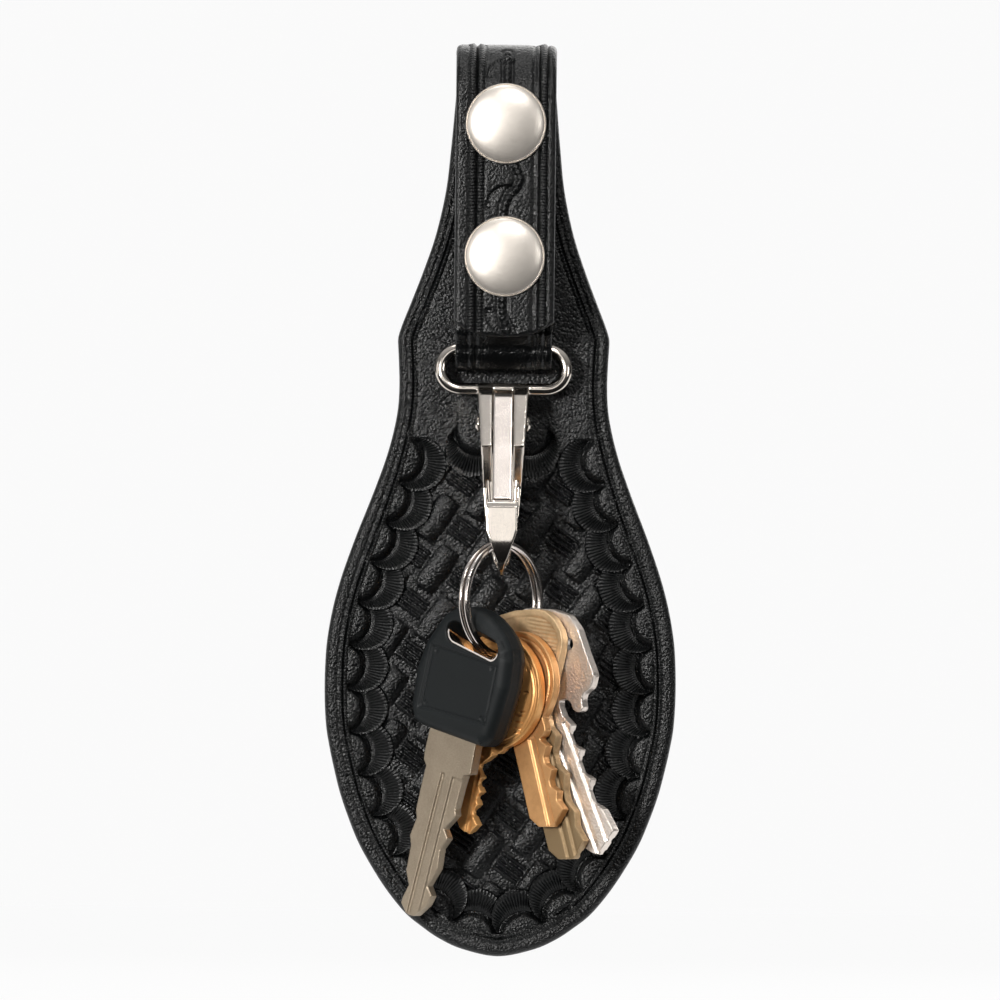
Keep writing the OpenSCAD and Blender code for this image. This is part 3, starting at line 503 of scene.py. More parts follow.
flapShape = {
    "halfWidth": 33.4, "tipZ": -143.3, "foldZ": 20.2, "foldY": -1.2, "foldOut": 9.8, "thick": 3.1,
    "frontY": 5.5, "edgeRound": 1.25, "seamAngle": 100.0,
    "outline": [(0, 0.286), (0.06, 0.311), (0.11, 0.338), (0.16, 0.391), (0.2, 0.455), (0.24, 0.529),
                (0.265, 0.577), (0.28, 0.6), (0.288, 0.602), (0.31, 0.596), (0.338, 0.592), (0.366, 0.6),
                (0.395, 0.627), (0.423, 0.665), (0.451, 0.713), (0.479, 0.765), (0.507, 0.819),
                (0.535, 0.869), (0.562, 0.913), (0.59, 0.95), (0.618, 0.977), (0.647, 0.994), (0.69, 1),
                (0.73, 0.991), (0.757, 0.97), (0.785, 0.94), (0.813, 0.904), (0.841, 0.856),
                (0.869, 0.799), (0.897, 0.722), (0.924, 0.635), (0.95, 0.53), (0.966, 0.434),
                (0.98, 0.332), (0.992, 0.2), (1, 0)],
    "shoulder": 8,
}
creaseShape = {"waist": 2.7, "low": 3.4, "waistZ": -44, "run": 22, "beadPitch": 0.62, "ridgeAt": 0.36,
               "ridgeHalf": 0.26, "ridgeRise": 0.14, "cutHalf": 0.12, "cutDeep": 0.42, "hollowAt": 1.0,
               "hollowHalf": 0.3, "hollowDeep": 0.12, "swell": 0.06, "seatAt": 0.85, "seatDeep": 1.7}
farMm = 9.0


def outlineCurve(steps=10):
    # the right edge from the fold to the tip, smooth except at the shoulder
    s = flapShape
    run = s["foldZ"] - s["tipZ"]
    pts = [Vector((w * s["halfWidth"], s["foldZ"] - d * run)) for d, w in s["outline"]]
    line = []
    for i in range(len(pts) - 1):
        a, b = pts[i], pts[i + 1]
        before = pts[i - 1] if i > 0 else a + (a - b)
        after = pts[i + 2] if i + 2 < len(pts) else Vector((-pts[i][0], pts[i][1]))
        ta, tb = (b - before) / 2, (after - a) / 2
        if i == s["shoulder"]:
            ta = b - a
        if i + 1 == s["shoulder"]:
            tb = b - a
        for k in range(steps):
            t = k / steps
            line.append(a * (2 * t ** 3 - 3 * t ** 2 + 1) + ta * (t ** 3 - 2 * t ** 2 + t)
                        + b * (3 * t ** 2 - 2 * t ** 3) + tb * (t ** 3 - t ** 2))
    line.append(pts[-1])
    return np.array([tuple(p) for p in line])


def runAlong(line):
    return np.concatenate([[0], np.cumsum(np.hypot(*np.diff(line, axis=0).T))])


edgeLine = outlineCurve()
edgeRun = runAlong(edgeLine)


def edgeDistance(x, z, near=farMm, batch=4000):
    # how far inside the edge each point lies, and how far along the edge
    half = np.interp(-z, -edgeLine[:, 1], edgeLine[:, 0])
    distance = np.full(len(x), near)
    along = np.zeros(len(x))
    close = np.where((half - np.abs(x) < near * 1.5) | (z < flapShape["tipZ"] + 16))[0]
    a, b = edgeLine[:-1], edgeLine[1:]
    step = b - a
    length = (step ** 2).sum(1)
    for start in range(0, len(close), batch):
        idx = close[start:start + batch]
        p = np.stack([np.abs(x[idx]), z[idx]], 1)
        rel = p[:, None, :] - a[None]
        t = np.clip((rel * step[None]).sum(2) / length[None], 0, 1)
        gap = np.hypot(rel[..., 0] - t * step[None, :, 0], rel[..., 1] - t * step[None, :, 1])
        best = gap.argmin(1)
        rows = np.arange(len(idx))
        distance[idx] = np.minimum(gap[rows, best], near)
        along[idx] = edgeRun[best] + t[rows, best] * np.sqrt(length[best])
    return distance, along


def creaseAt(z):
    s = creaseShape
    return s["waist"] + (s["low"] - s["waist"]) * smoothStep((s["waistZ"] - z) / s["run"])


def insetLine(inset, topZ):
    # the edge line below topZ, moved inwards by inset(z) and run on to the middle
    tangent = np.gradient(edgeLine, axis=0)
    tangent /= np.linalg.norm(tangent, axis=1)[:, None]
    inward = np.stack([tangent[:, 1], -tangent[:, 0]], 1)
    line = edgeLine + inward * np.array([inset(z) for z in edgeLine[:, 1]])[:, None]
    line = line[(line[:, 0] > 0) & (line[:, 1] < topZ)]
    return np.vstack([line, [0, line[-1, 1]]])


def edgeDrop(e, round_):
    # how far the face has dropped at a rounded edge
    t = np.clip(1 - e / round_, 0, 1)
    return round_ * (1 - np.sqrt(np.clip(1 - t * t, 0, 1)))


# ridges of the strap, counted from its left edge: place, half width, height

strapRidges = {"width": 19.0, "ridges": [(3.15, 0.52, 0.26), (4.85, 0.52, 0.25), (16.8, 0.6, 0.27)],
               "creases": [(2.45, 0.2, 0.16), (3.98, 0.17, 0.42), (5.5, 0.25, 0.16), (14.9, 0.4, 0.26),
                           (15.9, 0.16, 0.3), (17.45, 0.2, 0.3)]}
strapHalf = strapRidges["width"] / 2


def strapProfile(x):
    u = x + strapHalf
    h = np.zeros(len(x))
    bead = np.zeros(len(x))
    for place, half, rise in strapRidges["ridges"]:
        ridge = bell(u - place, half)
        h += rise * ridge
        bead = np.maximum(bead, ridge)
    for place, half, fall in strapRidges["creases"]:
        h -= fall * bell(u - place, half)
    return h, bead


# a fan's numbers are its middle, its radius and the turn that it starts and ends at

strapMarks = {"line": [(0.2, 30), (0.2, 20), (0.6, 9), (2.2, 6.2), (2.9, 4.4), (2.2, 2.8), (0.8, 1.4),
                       (-0.1, -0.6), (-0.3, -2.4), (-0.3, -8), (-0.3, -17), (-0.4, -20), (-0.2, -22),
                       (0.6, -24.2)],
              "toothPitch": 1.15, "lineHalf": 0.25, "toothOut": 0.5, "lineRise": 0.34, "grooveAt": 0.95,
              "grooveHalf": 0.3, "grooveDeep": 0.24,
              "fans": [(0.36, -0.86, 4.2, 68, 192), (0.57, -20.8, 4.4, 168, 302), (0.36, 24.0, 4.2, 68, 192)],
              "ribDegrees": 8.2, "fanInner": 1.0, "fanDeep": 0.45, "endDegrees": 6, "stampHalf": 5.2}


def strapStamps(x, z):
    # a toothed line down the middle, and three ribbed fans beside it
    s = strapMarks
    h = np.zeros(len(x))
    for cx, cz, radius, low, high in s["fans"]:
        dx, dz = x - cx, z - cz
        reach, turn = np.hypot(dx, dz), np.degrees(np.arctan2(dz, dx)) % 360
        inside = np.clip((radius - reach) / 0.25, 0, 1)
        for past in (turn - low, high - turn):
            inside *= np.clip(past / s["endDegrees"], 0, 1)
        ribs = 0.5 + 0.5 * np.cos(turn * math.tau / s["ribDegrees"])
        bowl = s["fanDeep"] * np.clip((reach - s["fanInner"]) / (radius - s["fanInner"]), 0, 1) ** 1.3
        h -= inside * bowl * (1 - 0.5 * ribs)
    line = np.array(s["line"], float)
    run = 0.0
    best, at = np.full(len(x), farMm), np.zeros(len(x))
    for a, b in zip(line, line[1:]):
        step = b - a
        length = np.hypot(*step)
        t = np.clip(((x - a[0]) * step[0] + (z - a[1]) * step[1]) / length ** 2, 0, 1)
        gap = np.hypot(x - a[0] - t * step[0], z - a[1] - t * step[1])
        near = gap < best
        best[near], at[near] = gap[near], (run + t * length)[near]
        run += length
    tooth = 1 - np.abs(2 * (at / s["toothPitch"] % 1) - 1)
    h += s["lineRise"] * smoothStep((s["lineHalf"] + s["toothOut"] * tooth - best) / 0.3)
    h -= s["grooveDeep"] * bell(best - s["grooveAt"], s["grooveHalf"])
    return h * np.clip((s["stampHalf"] - np.abs(x)) / 0.6, 0, 1)


# flap body

flapGrid = {"edge": [0, 0.08, 0.2, 0.36, 0.56, 0.8, 1.1, 1.4, 1.65, 1.85, 2.0, 2.14, 2.28, 2.42, 2.56, 2.7,
                     2.84, 2.98, 3.12, 3.26, 3.4, 3.54, 3.68, 3.82, 3.98, 4.15, 4.35, 4.6, 5.0, 5.5],
            "middle": 16, "backMiddle": 20,
            "backEdge": [0, 0.1, 0.3, 0.6, 1.0, 1.6, 2.2, 2.8, 3.4, 4.0, 4.6, 5.4],
            "rowMm": 0.42, "foldRows": 44, "tipHalf": 0.004, "mergeMm": 0.002}


def sectionStations(half, edge, middle):
    edge = np.array(edge) * min(1.0, half / (edge[-1] * 1.25))
    centre = np.linspace(-half + edge[-1], half - edge[-1], middle + 1)[1:-1]
    return np.concatenate([-half + edge, centre, (half - edge)[::-1]])


def buildFlap():
    s, g, c = flapShape, flapGrid, creaseShape
    total = edgeRun[-1]
    rows = int(total / g["rowMm"])
    atRun = np.linspace(total, 0, rows)
    rowZ = np.interp(atRun, edgeRun, edgeLine[:, 1])
    rowHalf = np.interp(atRun, edgeRun, edgeLine[:, 0])
    middleR = s["foldOut"] - s["thick"] / 2
    angles = np.radians(np.linspace(0, s["seamAngle"], g["foldRows"] + 1)[1:])
    count = rows + len(angles)
    sections = []
    for i in range(count):
        half = max(rowHalf[min(i, rows - 1)], g["tipHalf"])
        front = sectionStations(half, g["edge"], g["middle"])
        sections.append(np.concatenate([front, sectionStations(half, g["backEdge"], g["backMiddle"])[::-1]]))
    x = np.array(sections)
    z = np.concatenate([rowZ, np.full(len(angles), s["foldZ"])])
    turn = np.concatenate([np.zeros(rows), angles])
    loop = x.shape[1]
    mesh, u, v = gridMesh("flap", loop, count - 1)  # one column more closes the section
    ci = lineNumbers(u) % loop
    ri = np.minimum(lineNumbers(v), count - 1)
    px, pz, pt = x[ri, ci], z[ri], turn[ri]
    isFront = ci < len(front)
    e, along = edgeDistance(px, pz)
    inFold = pt > 0
    e = np.where(inFold, np.minimum(farMm, strapHalf - np.abs(px)), e)
    along = np.where(inFold, pt * 9, along)
    crease = creaseAt(pz)
    gap = e - crease
    ridge = bell(gap + c["ridgeAt"], c["ridgeHalf"]) + bell(gap - c["ridgeAt"], c["ridgeHalf"])
    relief = c["ridgeRise"] * ridge - c["cutDeep"] * bell(gap, c["cutHalf"])
    relief -= c["hollowDeep"] * bell(gap + c["hollowAt"], c["hollowHalf"])
    relief += c["swell"] * np.sin(np.clip(e / (crease - 0.8), 0, 1) * math.pi)
    relief -= c["seatDeep"] * smoothStep((gap - c["seatAt"]) / 0.3) * (pz < panelShape["topZ"] - 0.4)
    relief = np.where(isFront & ~inFold, relief, 0)
    onFold = smoothStep((np.degrees(pt) - 15) / 40)
    profile, strapBead = strapProfile(px)
    relief = np.where(~isFront & inFold, profile * onFold, relief)
    # along the section's normal, front face first
    offset = np.where(isFront, 1, -1) * (s["thick"] / 2 - edgeDrop(e, s["edgeRound"]) + relief)
    r = middleR - offset
    py = np.where(inFold, s["foldY"] + r * np.cos(pt), s["frontY"] + s["thick"] / 2 - offset)
    pz = np.where(inFold, s["foldZ"] + r * np.sin(pt), pz)
    setPoints(mesh, np.stack([px, py, pz], 1) * mm)
    setAttribute(mesh, "bead", along / c["beadPitch"])
    mask = np.where(isFront, np.clip(ridge, 0, 1), strapBead * onFold * 0.8)
    setAttribute(mesh, "beadMask", mask * ~(inFold & isFront))
    setAttribute(mesh, "worn", bell(e, 0.5) * 0.8 + 0.4 * ridge * isFront)
    closedRims(mesh, g["mergeMm"] * mm, lambda rim: [rim])
    return finished("flap_leather", mesh, "flap", "flapLeather", "flap_pad", 50)


# tooled panel

panelShape = {"topZ": -7.0, "toolTopZ": -43.0, "weaveTopZ": -47.6, "columns": 252, "denseMm": 0.26432,
              "coarseMm": 0.8, "inset": 0.78, "backMm": 1.6, "mergeMm": 0.004, "edgeDeep": 0.12}
weaveShape = {"origin": (11.5, -64.3), "down": (0.0, -9.69), "side": (9.4, 4.0), "tilt": -35.0, "bed": -1.15,
              "groupLong": 2.75, "groupWide": 2.08, "linePitch": 1.04, "pillowAt": 5.35, "pillowHalf": 2.4,
              "waist": 0.3, "pillowLong": 4.7, "pillowRise": 1.08}
fanShape = {"outer": 5.05, "inner": 4.9, "offset": 4.0, "insetWaist": 6.35, "insetLow": 6.85, "pitch": 8.2,
            "firstZ": -49.7, "ribs": 31, "across": 8, "topPlace": (5.7, -46.9), "topCentre": (4.7, -43.2),
            "ribRise": 0.21, "backMm": 0.75, "lobeWide": 1.5, "lobeDeep": 0.10}


def fanPlaces():
    # middles of the outer and inner circles of every fan stamp, lowest first
    f = fanShape
    wider = f["insetLow"] - f["insetWaist"]
    line = insetLine(lambda z: f["insetWaist"] + wider * smoothStep((-z - 50) / 20), f["firstZ"])
    run = runAlong(line)
    count = round((run[-1] - f["pitch"] / 2) / f["pitch"])
    pitch = run[-1] / (count + 0.5)
    mirrors = [np.array([side, 1]) for side in (1, -1)]
    fans = []
    for k in range(count + 1):
        p, q = (np.array([np.interp(at, run, line[:, 0]), np.interp(at, run, line[:, 1])])
                for at in (k * pitch, k * pitch + 0.4))
        t = (q - p) / np.linalg.norm(q - p)
        inward = np.array([t[1], -t[0]])
        fans += [(p * m, (p - inward * f["offset"]) * m) for m in mirrors]
    fans.reverse()
    # the first pair at each side lies over the top pair
    top = [(np.array(f["topPlace"]) * m, np.array(f["topCentre"]) * m) for m in mirrors]
    return fans[:-2] + top + fans[-2:]


fans = fanPlaces()


def weaveHeight(x, z):
    s = weaveShape
    u, w = x - s["origin"][0], z - s["origin"][1]
    (ax, az), (bx, bz) = s["down"], s["side"]
    det = ax * bz - az * bx
    i = (u * bz - w * bx) / det
    j = (ax * w - az * u) / det
    tilt = math.radians(s["tilt"])
    dx, dz = math.cos(tilt), math.sin(tilt)
    best = -1.02 + 0.06 * np.sin(u * 2.1 + w * 1.3)
    for di in (-1, 0, 1, 2):
        for dj in (-1, 0, 1, 2):
            ci, cj = np.floor(i) + di, np.floor(j) + dj
            gx, gz = u - ci * ax - cj * bx, w - ci * az - cj * bz
            p, q = gx * dx + gz * dz, -gx * dz + gz * dx
            group = smoothStep((s["groupLong"] - np.abs(p)) / 0.2)
            group = group * smoothStep((s["groupWide"] - np.abs(q)) / 0.16)
            line = (0.5 + 0.5 * np.cos(q * math.tau / s["linePitch"] + math.pi)) ** 1.6
            p = p - s["pillowAt"]
            wideAt = s["pillowHalf"] - s["waist"] * (np.abs(q) / s["pillowLong"]) ** 2
            inside = np.clip((wideAt - np.abs(p)) / 0.42, 0, 1)
            inside = inside * np.clip((s["pillowLong"] + 0.05 - np.abs(q)) / 0.5, 0, 1)
            dome = 1 - 0.62 * np.abs(p / s["pillowHalf"]) ** 2.2 - 0.42 * np.abs(q / s["pillowLong"]) ** 2.6
            pillow = np.sqrt(inside) * s["pillowRise"] * np.clip(dome, 0, 1)
            best = np.maximum(best, s["bed"] + np.maximum((0.05 + 0.95 * line) * group, pillow))
    return best


def panelHeight(x, z):
    s, f = panelShape, fanShape
    e, _ = edgeDistance(x, z)
    h = weaveHeight(x, z)
    # 1 on the raised tops, greyed as wear, and 0 in the stamped hollows, which stay black as painted shade
    worn = smoothStep((h + 0.35) / 0.3)
    h *= smoothStep((s["weaveTopZ"] - z) / 0.9)
    plain = z > s["weaveTopZ"]
    below = z < s["toolTopZ"] + 2.4
    points = np.stack([x, z], 1)
    for outer, inner in fans:
        dp = np.hypot(*(points - outer).T)
        dq = np.hypot(*(points - inner).T)
        reach = dp < f["outer"]
        beside = (~reach) * (dq > f["inner"]) * (~plain)
        h -= 0.35 * np.exp(-np.clip(dp - f["outer"], 0, None) / 0.35) * beside
        lobe = -1.0 * (1 - smoothStep((f["inner"] - dq) / f["lobeWide"])) - f["lobeDeep"]
        middle = f["lobeDeep"] * (smoothStep((f["inner"] - f["lobeWide"] - dq) / 1.2) - 1)
        lobe = np.where(dq < f["inner"] - f["lobeWide"], middle, lobe)
        t = np.clip((dq - f["inner"]) / (dq - f["inner"] + f["outer"] - dp + 1e-6), 0, 1)
        h = np.where(reach & below, np.where(dq < f["inner"], lobe, -1.45 + 0.55 * t), h)
    # lobes run out flat to the crease, and nothing is stamped outside it
    gap = e - creaseAt(z)
    h *= smoothStep((gap - 0.7) / 0.5)
    h -= s["edgeDeep"] * bell(gap - 0.9, 0.25)
    return h, worn


def buildPanel():
    s = panelShape
    line = insetLine(lambda z: creaseAt(z) + s["inset"], s["topZ"])
    run = runAlong(line)
    # rows: close together where it is tooled, further apart above
    upper = np.interp(-s["toolTopZ"], -line[:, 1], run)
    coarse, dense = np.arange(0, upper, s["coarseMm"]), np.arange(upper, run[-1], s["denseMm"])
    rows = np.concatenate([coarse, dense, [run[-1]]])
    rowZ = np.interp(rows, run, line[:, 1])
    rowHalf = np.maximum(np.interp(rows, run, line[:, 0]), 0.01)
    mesh, u, v = gridMesh("panel", s["columns"], len(rows) - 1)
    ri = np.minimum(lineNumbers(v), len(rows) - 1)
    x, z = (u * 2 - 1) * rowHalf[ri], rowZ[ri]
    h, worn = panelHeight(x, z)
    setPoints(mesh, np.stack([x, flapShape["frontY"] - h, z], 1) * mm)
    setAttribute(mesh, "worn", worn * 0.5)
    bm = editable(mesh)
    merged(bm, s["mergeMm"] * mm)
    closedBehind(written(bm, mesh), s["backMm"])
    return finished("flap_panel", mesh, "flap", "tooledLeather", "flap_pad")


def buildFans():
    # each fan is a crescent of real ribs, sunk where the next one is stamped over it
    f = fanShape
    apart = f["offset"]
    limit = math.acos((f["inner"] ** 2 + apart ** 2 - f["outer"] ** 2) / (2 * f["inner"] * apart))
    whole = bmesh.new()
    for number, (outer, inner) in enumerate(fans):
        mesh, u, v = gridMesh("fan", f["ribs"] * 4, f["across"])
        turn = (u * 2 - 1) * limit * 0.995
        reach = apart * np.cos(turn) + np.sqrt(f["outer"] ** 2 - (apart * np.sin(turn)) ** 2)
        radius = f["inner"] + v * (reach - f["inner"])
        towards = (outer - inner) / np.linalg.norm(outer - inner)
        sideways = np.array([-towards[1], towards[0]])
        place = inner + radius[:, None] * (np.cos(turn)[:, None] * towards + np.sin(turn)[:, None] * sideways)
        rib = 1 - np.abs(2 * ((u * f["ribs"]) % 1) - 1)
        fade = np.clip(v * 4, 0, 1) * np.clip((1.02 - v) * 12, 0.3, 1)
        h = -1.02 + 0.80 * v ** 0.9 + f["ribRise"] * rib * fade
        for later, _ in fans[number + 1:]:
            if np.hypot(*(later - outer)) < 2.2 * f["outer"]:
                over = f["outer"] - np.hypot(*(place - later).T)
                h = h - 1.3 * smoothStep((over + 0.05) / 0.25)
        e, _ = edgeDistance(place[:, 0], place[:, 1])
        h = h - 1.2 * smoothStep((creaseAt(place[:, 1]) + 0.9 - e) / 0.3)
        setPoints(mesh, np.stack([place[:, 0], flapShape["frontY"] - h, place[:, 1]], 1) * mm)
        whole.from_mesh(closedBehind(mesh, f["backMm"]))
        bpy.data.meshes.remove(mesh)
    mesh = joinedMesh(whole, "fans")
    # the shallow parts are greyed as wear, and the deep grooves stay black as painted shade
    depth = pointsOf(mesh)[:, 1] / mm - flapShape["frontY"]
    setAttribute(mesh, "worn", smoothStep((0.5 - depth) / 0.4) * 0.6)
    return finished("flap_fans", mesh, "flap", "fanLeather", "flap_pad", 60)


buildFlap()
buildPanel()
buildFans()


# front strap

strapShape = {"frontY": -11.0, "thick": 3.1, "endZ": -25.6, "endRise": 2.8, "endPower": 2.6, "edgeRound": 0.9,
              "edge": [0, 0.07, 0.18, 0.32, 0.5, 0.72, 0.95], "backEdge": [0, 0.1, 0.3, 0.6, 1.0],
              "pitch": 0.17, "rowMm": 0.21, "backMiddle": 14, "mergeMm": 0.002,
              "bendFrom": 116, "bendTo": 154}


def buildStrap():
    s, fold = strapShape, flapShape
    edge = np.array(s["edge"])
    span = np.arange(edge[-1] + s["pitch"], strapHalf * 2 - edge[-1], s["pitch"]) - strapHalf
    frontX = np.concatenate([-strapHalf + edge, span, (strapHalf - edge)[::-1]])
    backX = sectionStations(strapHalf, s["backEdge"], s["backMiddle"])[::-1]
    loop = len(frontX) + len(backX)
    foldRows = int(math.radians(180 - fold["seamAngle"]) * fold["foldOut"] / s["rowMm"])
    fallRows = int((fold["foldZ"] - s["endZ"]) / s["rowMm"])
    mesh, u, v = gridMesh("strap", loop, foldRows + fallRows)
    ci = lineNumbers(u) % loop
    row = v * (foldRows + fallRows)
    inFold = row < foldRows
    x = np.concatenate([frontX, backX])[ci]
    isFront = ci < len(frontX)
    turn = np.radians(fold["seamAngle"] + (180 - fold["seamAngle"]) * np.clip(row / foldRows, 0, 1))
    fall = np.clip((row - foldRows) / fallRows, 0, 1)
    endZ = s["endZ"] + s["endRise"] * (np.abs(x) / strapHalf) ** s["endPower"]
    z = fold["foldZ"] - fall * (fold["foldZ"] - endZ)
    run = np.where(inFold, (math.pi - turn) * fold["foldOut"] + fold["foldZ"], z)
    e = np.minimum(strapHalf - np.abs(x), np.where(inFold, farMm, z - endZ))
    profile, bead = strapProfile(x)
    relief = (profile + strapStamps(x, run)) * smoothStep((e - 0.1) / 0.6) * isFront
    offset = np.where(isFront, 1, -1) * (s["thick"] / 2 - edgeDrop(e, s["edgeRound"]) + relief)
    r = fold["foldOut"] - s["thick"] / 2 + offset
    y = np.where(inFold, fold["foldY"] + r * np.cos(turn), s["frontY"] + s["thick"] / 2 - offset)
    z = np.where(inFold, fold["foldZ"] + r * np.sin(turn), z)
    setPoints(mesh, np.stack([x, y, z], 1) * mm)
    setAttribute(mesh, "bead", run / creaseShape["beadPitch"])
    setAttribute(mesh, "beadMask", bead * isFront)
    setAttribute(mesh, "worn", bell(e, 0.5) * 0.8 + 0.3 * bead * isFront)
    # the seam between front and back at the lower end, and the open top
    closedRims(mesh, s["mergeMm"] * mm, lambda rim: [[part for part in rim if part.verts[0].co.z * side > 0]
                                                     for side in (-1, 1)])
    piece = finished("strap_leather", mesh, None, "strapLeather", "front_strap", 50)
    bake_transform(piece)
    return piece


buildStrap()


# soft-edged copies of the turned, milled and cast parts

def softCopy(node, name, body, finish, place, voxelMm, rounds, flats=(), shape=None):
    # the CAD solid in its own frame, remeshed finely, its flat faces kept flat and its edges rounded off
    bm = editable(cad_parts[node].data)
    merged(bm)
    bm.transform(Matrix.Scale(1 / mm, 4) @ place.inverted())
    holder = placed(name + "Source", joinedMesh(bm, name))
    remesh = holder.modifiers.new("Remesh", "REMESH")
    remesh.mode, remesh.voxel_size, remesh.adaptivity = "VOXEL", voxelMm, 0
    fine = bpy.data.meshes.new_from_object(holder.evaluated_get(bpy.context.evaluated_depsgraph_get()))
    bpy.data.objects.remove(holder)
    bm = editable(fine)
    for _ in range(rounds):
        bmesh.ops.smooth_vert(bm, verts=bm.verts, factor=0.5, use_axis_x=True, use_axis_y=True,
                              use_axis_z=True)
    written(bm, fine)
    fine.update()
    points, normals = pointsOf(fine), vectorsOf(fine.vertex_normals, "vector")
    for axis, value in flats:
        flat = (np.abs(points[:, axis] - value) < voxelMm * 0.8) & (np.abs(normals[:, axis]) > 0.97)
        points[flat, axis] = value
    worn = np.zeros(len(points))
    if shape:
        points, worn = shape(points, normals)
    setPoints(fine, points)
    setAttribute(fine, "worn", worn)
    fine.transform(place @ Matrix.Scale(mm, 4))
    return finished(name, fine, body, finish, node)


hookPlace = Matrix.Translation((0, 1.2 * mm, -27.9 * mm)) @ turnedAbout("X", -5)
hookPoint = {"fromZ": -40.2, "run": 3.2, "narrowing": 0.6}
innerWidth = 18.4


def hookTip(points, normals):
    # the bend runs to a point under the nose
    points = points.copy()
    narrow = smoothStep((hookPoint["fromZ"] - points[:, 2]) / hookPoint["run"])
    points[:, 0] *= 1 - hookPoint["narrowing"] * narrow
    return points, np.zeros(len(points))


def innerRelief(points, normals):
    # the same ridges as the front strap's, pressed into the face behind it
    profile, bead = strapProfile(points[:, 0] * strapRidges["width"] / innerWidth)
    front = (normals[:, 1] < -0.5) & (points[:, 1] < 0)
    points = points.copy()
    points[:, 1] -= np.where(front, profile, 0)
    return points, np.where(front, bead * 0.4, 0)


softCopy("snap_hook", "hook_body", "hook", "hookNickel", hookPlace, 0.17, 4, shape=hookTip)
softCopy("gate", "hook_gate", "gate", "gateNickel", hookPlace, 0.12, 2)
softCopy("gate_pin", "hook_pin", "hook", "hookNickel", hookPlace, 0.1, 2)
softCopy("stud_strap", "inner_strap", "flap", "innerLeather", Matrix.Identity(4), 0.215, 5,
         shape=innerRelief)


# split ring

ringShape = {"radius": 10.6, "yaw": 41.0, "middle": (0, -7.322, -75.5), "start": -25.0, "sweep": 676.0,
             "stepArc": 44.0, "pitch": 1.3, "radial": 1.3, "axial": 0.84, "around": 20, "along": 420,
             "squareness": 0.72, "taper": 0.18, "taperRun": 1.2}


def ringPlace():
    return Matrix.Translation(Vector(ringShape["middle"]) * mm)


def buildRing():
    s = ringShape
    mesh, u, v = gridMesh("ring", s["around"], s["along"])
    angle = v * s["sweep"]
    axial = s["pitch"] * (np.clip((angle - 360 + s["stepArc"]) / s["stepArc"], 0, 1) - 0.5)
    turn = np.radians(angle + s["start"])
    taper = 1 - s["taper"] * np.exp(-np.minimum(angle, s["sweep"] - angle) / s["taperRun"])
    ca, sa = (np.sign(part) * np.abs(part) ** s["squareness"] * taper / 2
              for part in (np.cos(u * math.tau), np.sin(u * math.tau)))
    radius = s["radius"] + ca * s["radial"]
    setPoints(mesh, np.stack([radius * np.cos(turn), axial + sa * s["axial"], radius * np.sin(turn)], 1))
    mesh.transform(ringPlace() @ turnedAbout("Z", 90 - s["yaw"]) @ Matrix.Scale(mm, 4))
    bm = editable(mesh)
    merged(bm)
    bmesh.ops.holes_fill(bm, edges=boundary(bm))
    outward(bm)
    written(bm, mesh)
    return finished("ring_wire", mesh, "ring", "ringNickel", "split_ring", 60)


buildRing()


# snap caps

capShape = {"radius": 7.65, "height": 2.3, "rim": 0.7, "lip": 0.3, "frontY": -11.0, "roundness": 1.15,
            "steps": 22, "around": 96, "places": {"upper": 14.9, "lower": -10.3}}


def buildCap(name, node, z):
    s = capShape
    radius, rim = s["radius"], s["rim"]
    outline = []
    for i in range(s["steps"] + 1):
        a = math.pi / 2 * i / s["steps"]
        rise = (s["height"] - rim) * math.cos(a) ** s["roundness"]
        outline.append(((radius - s["lip"]) * math.sin(a), -rim - rise))
    outline += [(radius - 0.26, -rim + 0.1), (radius - 0.12, -rim - 0.02), (radius, -rim + 0.16),
                (radius, -0.2), (radius - 0.16, -0.01), (0, -0.01)]
    bm = bmesh.new()
    verts = [bm.verts.new((r * mm, y * mm, 0)) for r, y in outline]
    edges = [bm.edges.new(pair) for pair in zip(verts, verts[1:])]
    bmesh.ops.spin(bm, geom=verts + edges, cent=(0, 0, 0), axis=(0, 1, 0), dvec=(0, 0, 0), angle=math.tau,
                   steps=s["around"], use_merge=True, use_duplicate=False)
    merged(bm)
    outward(bm)
    bmesh.ops.translate(bm, verts=bm.verts, vec=(0, s["frontY"] * mm, z * mm))
    return finished(name, joinedMesh(bm, name), "front_strap", "capNickel", node, 50)


for end, z in capShape["places"].items():
    buildCap(end + "_cap_dome", end + "_snap_cap", z)


# keys

keyShape = {"thick": 1.9, "voxel": 0.16}
keySeats = {"head": -7.975, "front": 0.525, "rear": 2.775, "ribbed": 5.025, "angular": 7.275}


def keyPlace(seat):
    drop = -math.sqrt(ringShape["radius"] ** 2 - seat ** 2)
    return ringPlace() @ turnedAbout("Z", -ringShape["yaw"]) @ Matrix.Translation((0, seat * mm, drop * mm))


def faceCarver(depthAt, shadeBelow=-99.0):
    # pushes both flat faces in by depthAt(x, z), in the key's own millimetres

    def carve(points, normals):
        depth = depthAt(points[:, 0], points[:, 2])
        front = normals[:, 1] < -0.6
        back = normals[:, 1] > 0.6
        points = points.copy()
        points[:, 1] += np.where(front, depth, 0) - np.where(back, depth, 0)
        worn = 1 - np.clip((np.abs(normals[:, 1]) - 0.55) / 0.4, 0, 1)
        # the edges are lightened as wear; below shadeBelow the colour is pushed to the dull end as painted
        # shade
        return points, worn * 0.8 - 1.2 * smoothStep((shadeBelow - points[:, 2]) / 2)

    return carve


def hullLine(points):
    # the outline round a flat set of points, anticlockwise
    order = sorted({tuple(p) for p in np.round(points, 1)})

    def half(run):
        line = []
        for p in run:
            while len(line) > 1 and np.cross(np.subtract(line[-1], line[-2]), np.subtract(p, line[-2])) <= 0:
                line.pop()
            line.append(p)
        return line[:-1]

    return np.array(half(order) + half(order[::-1]))


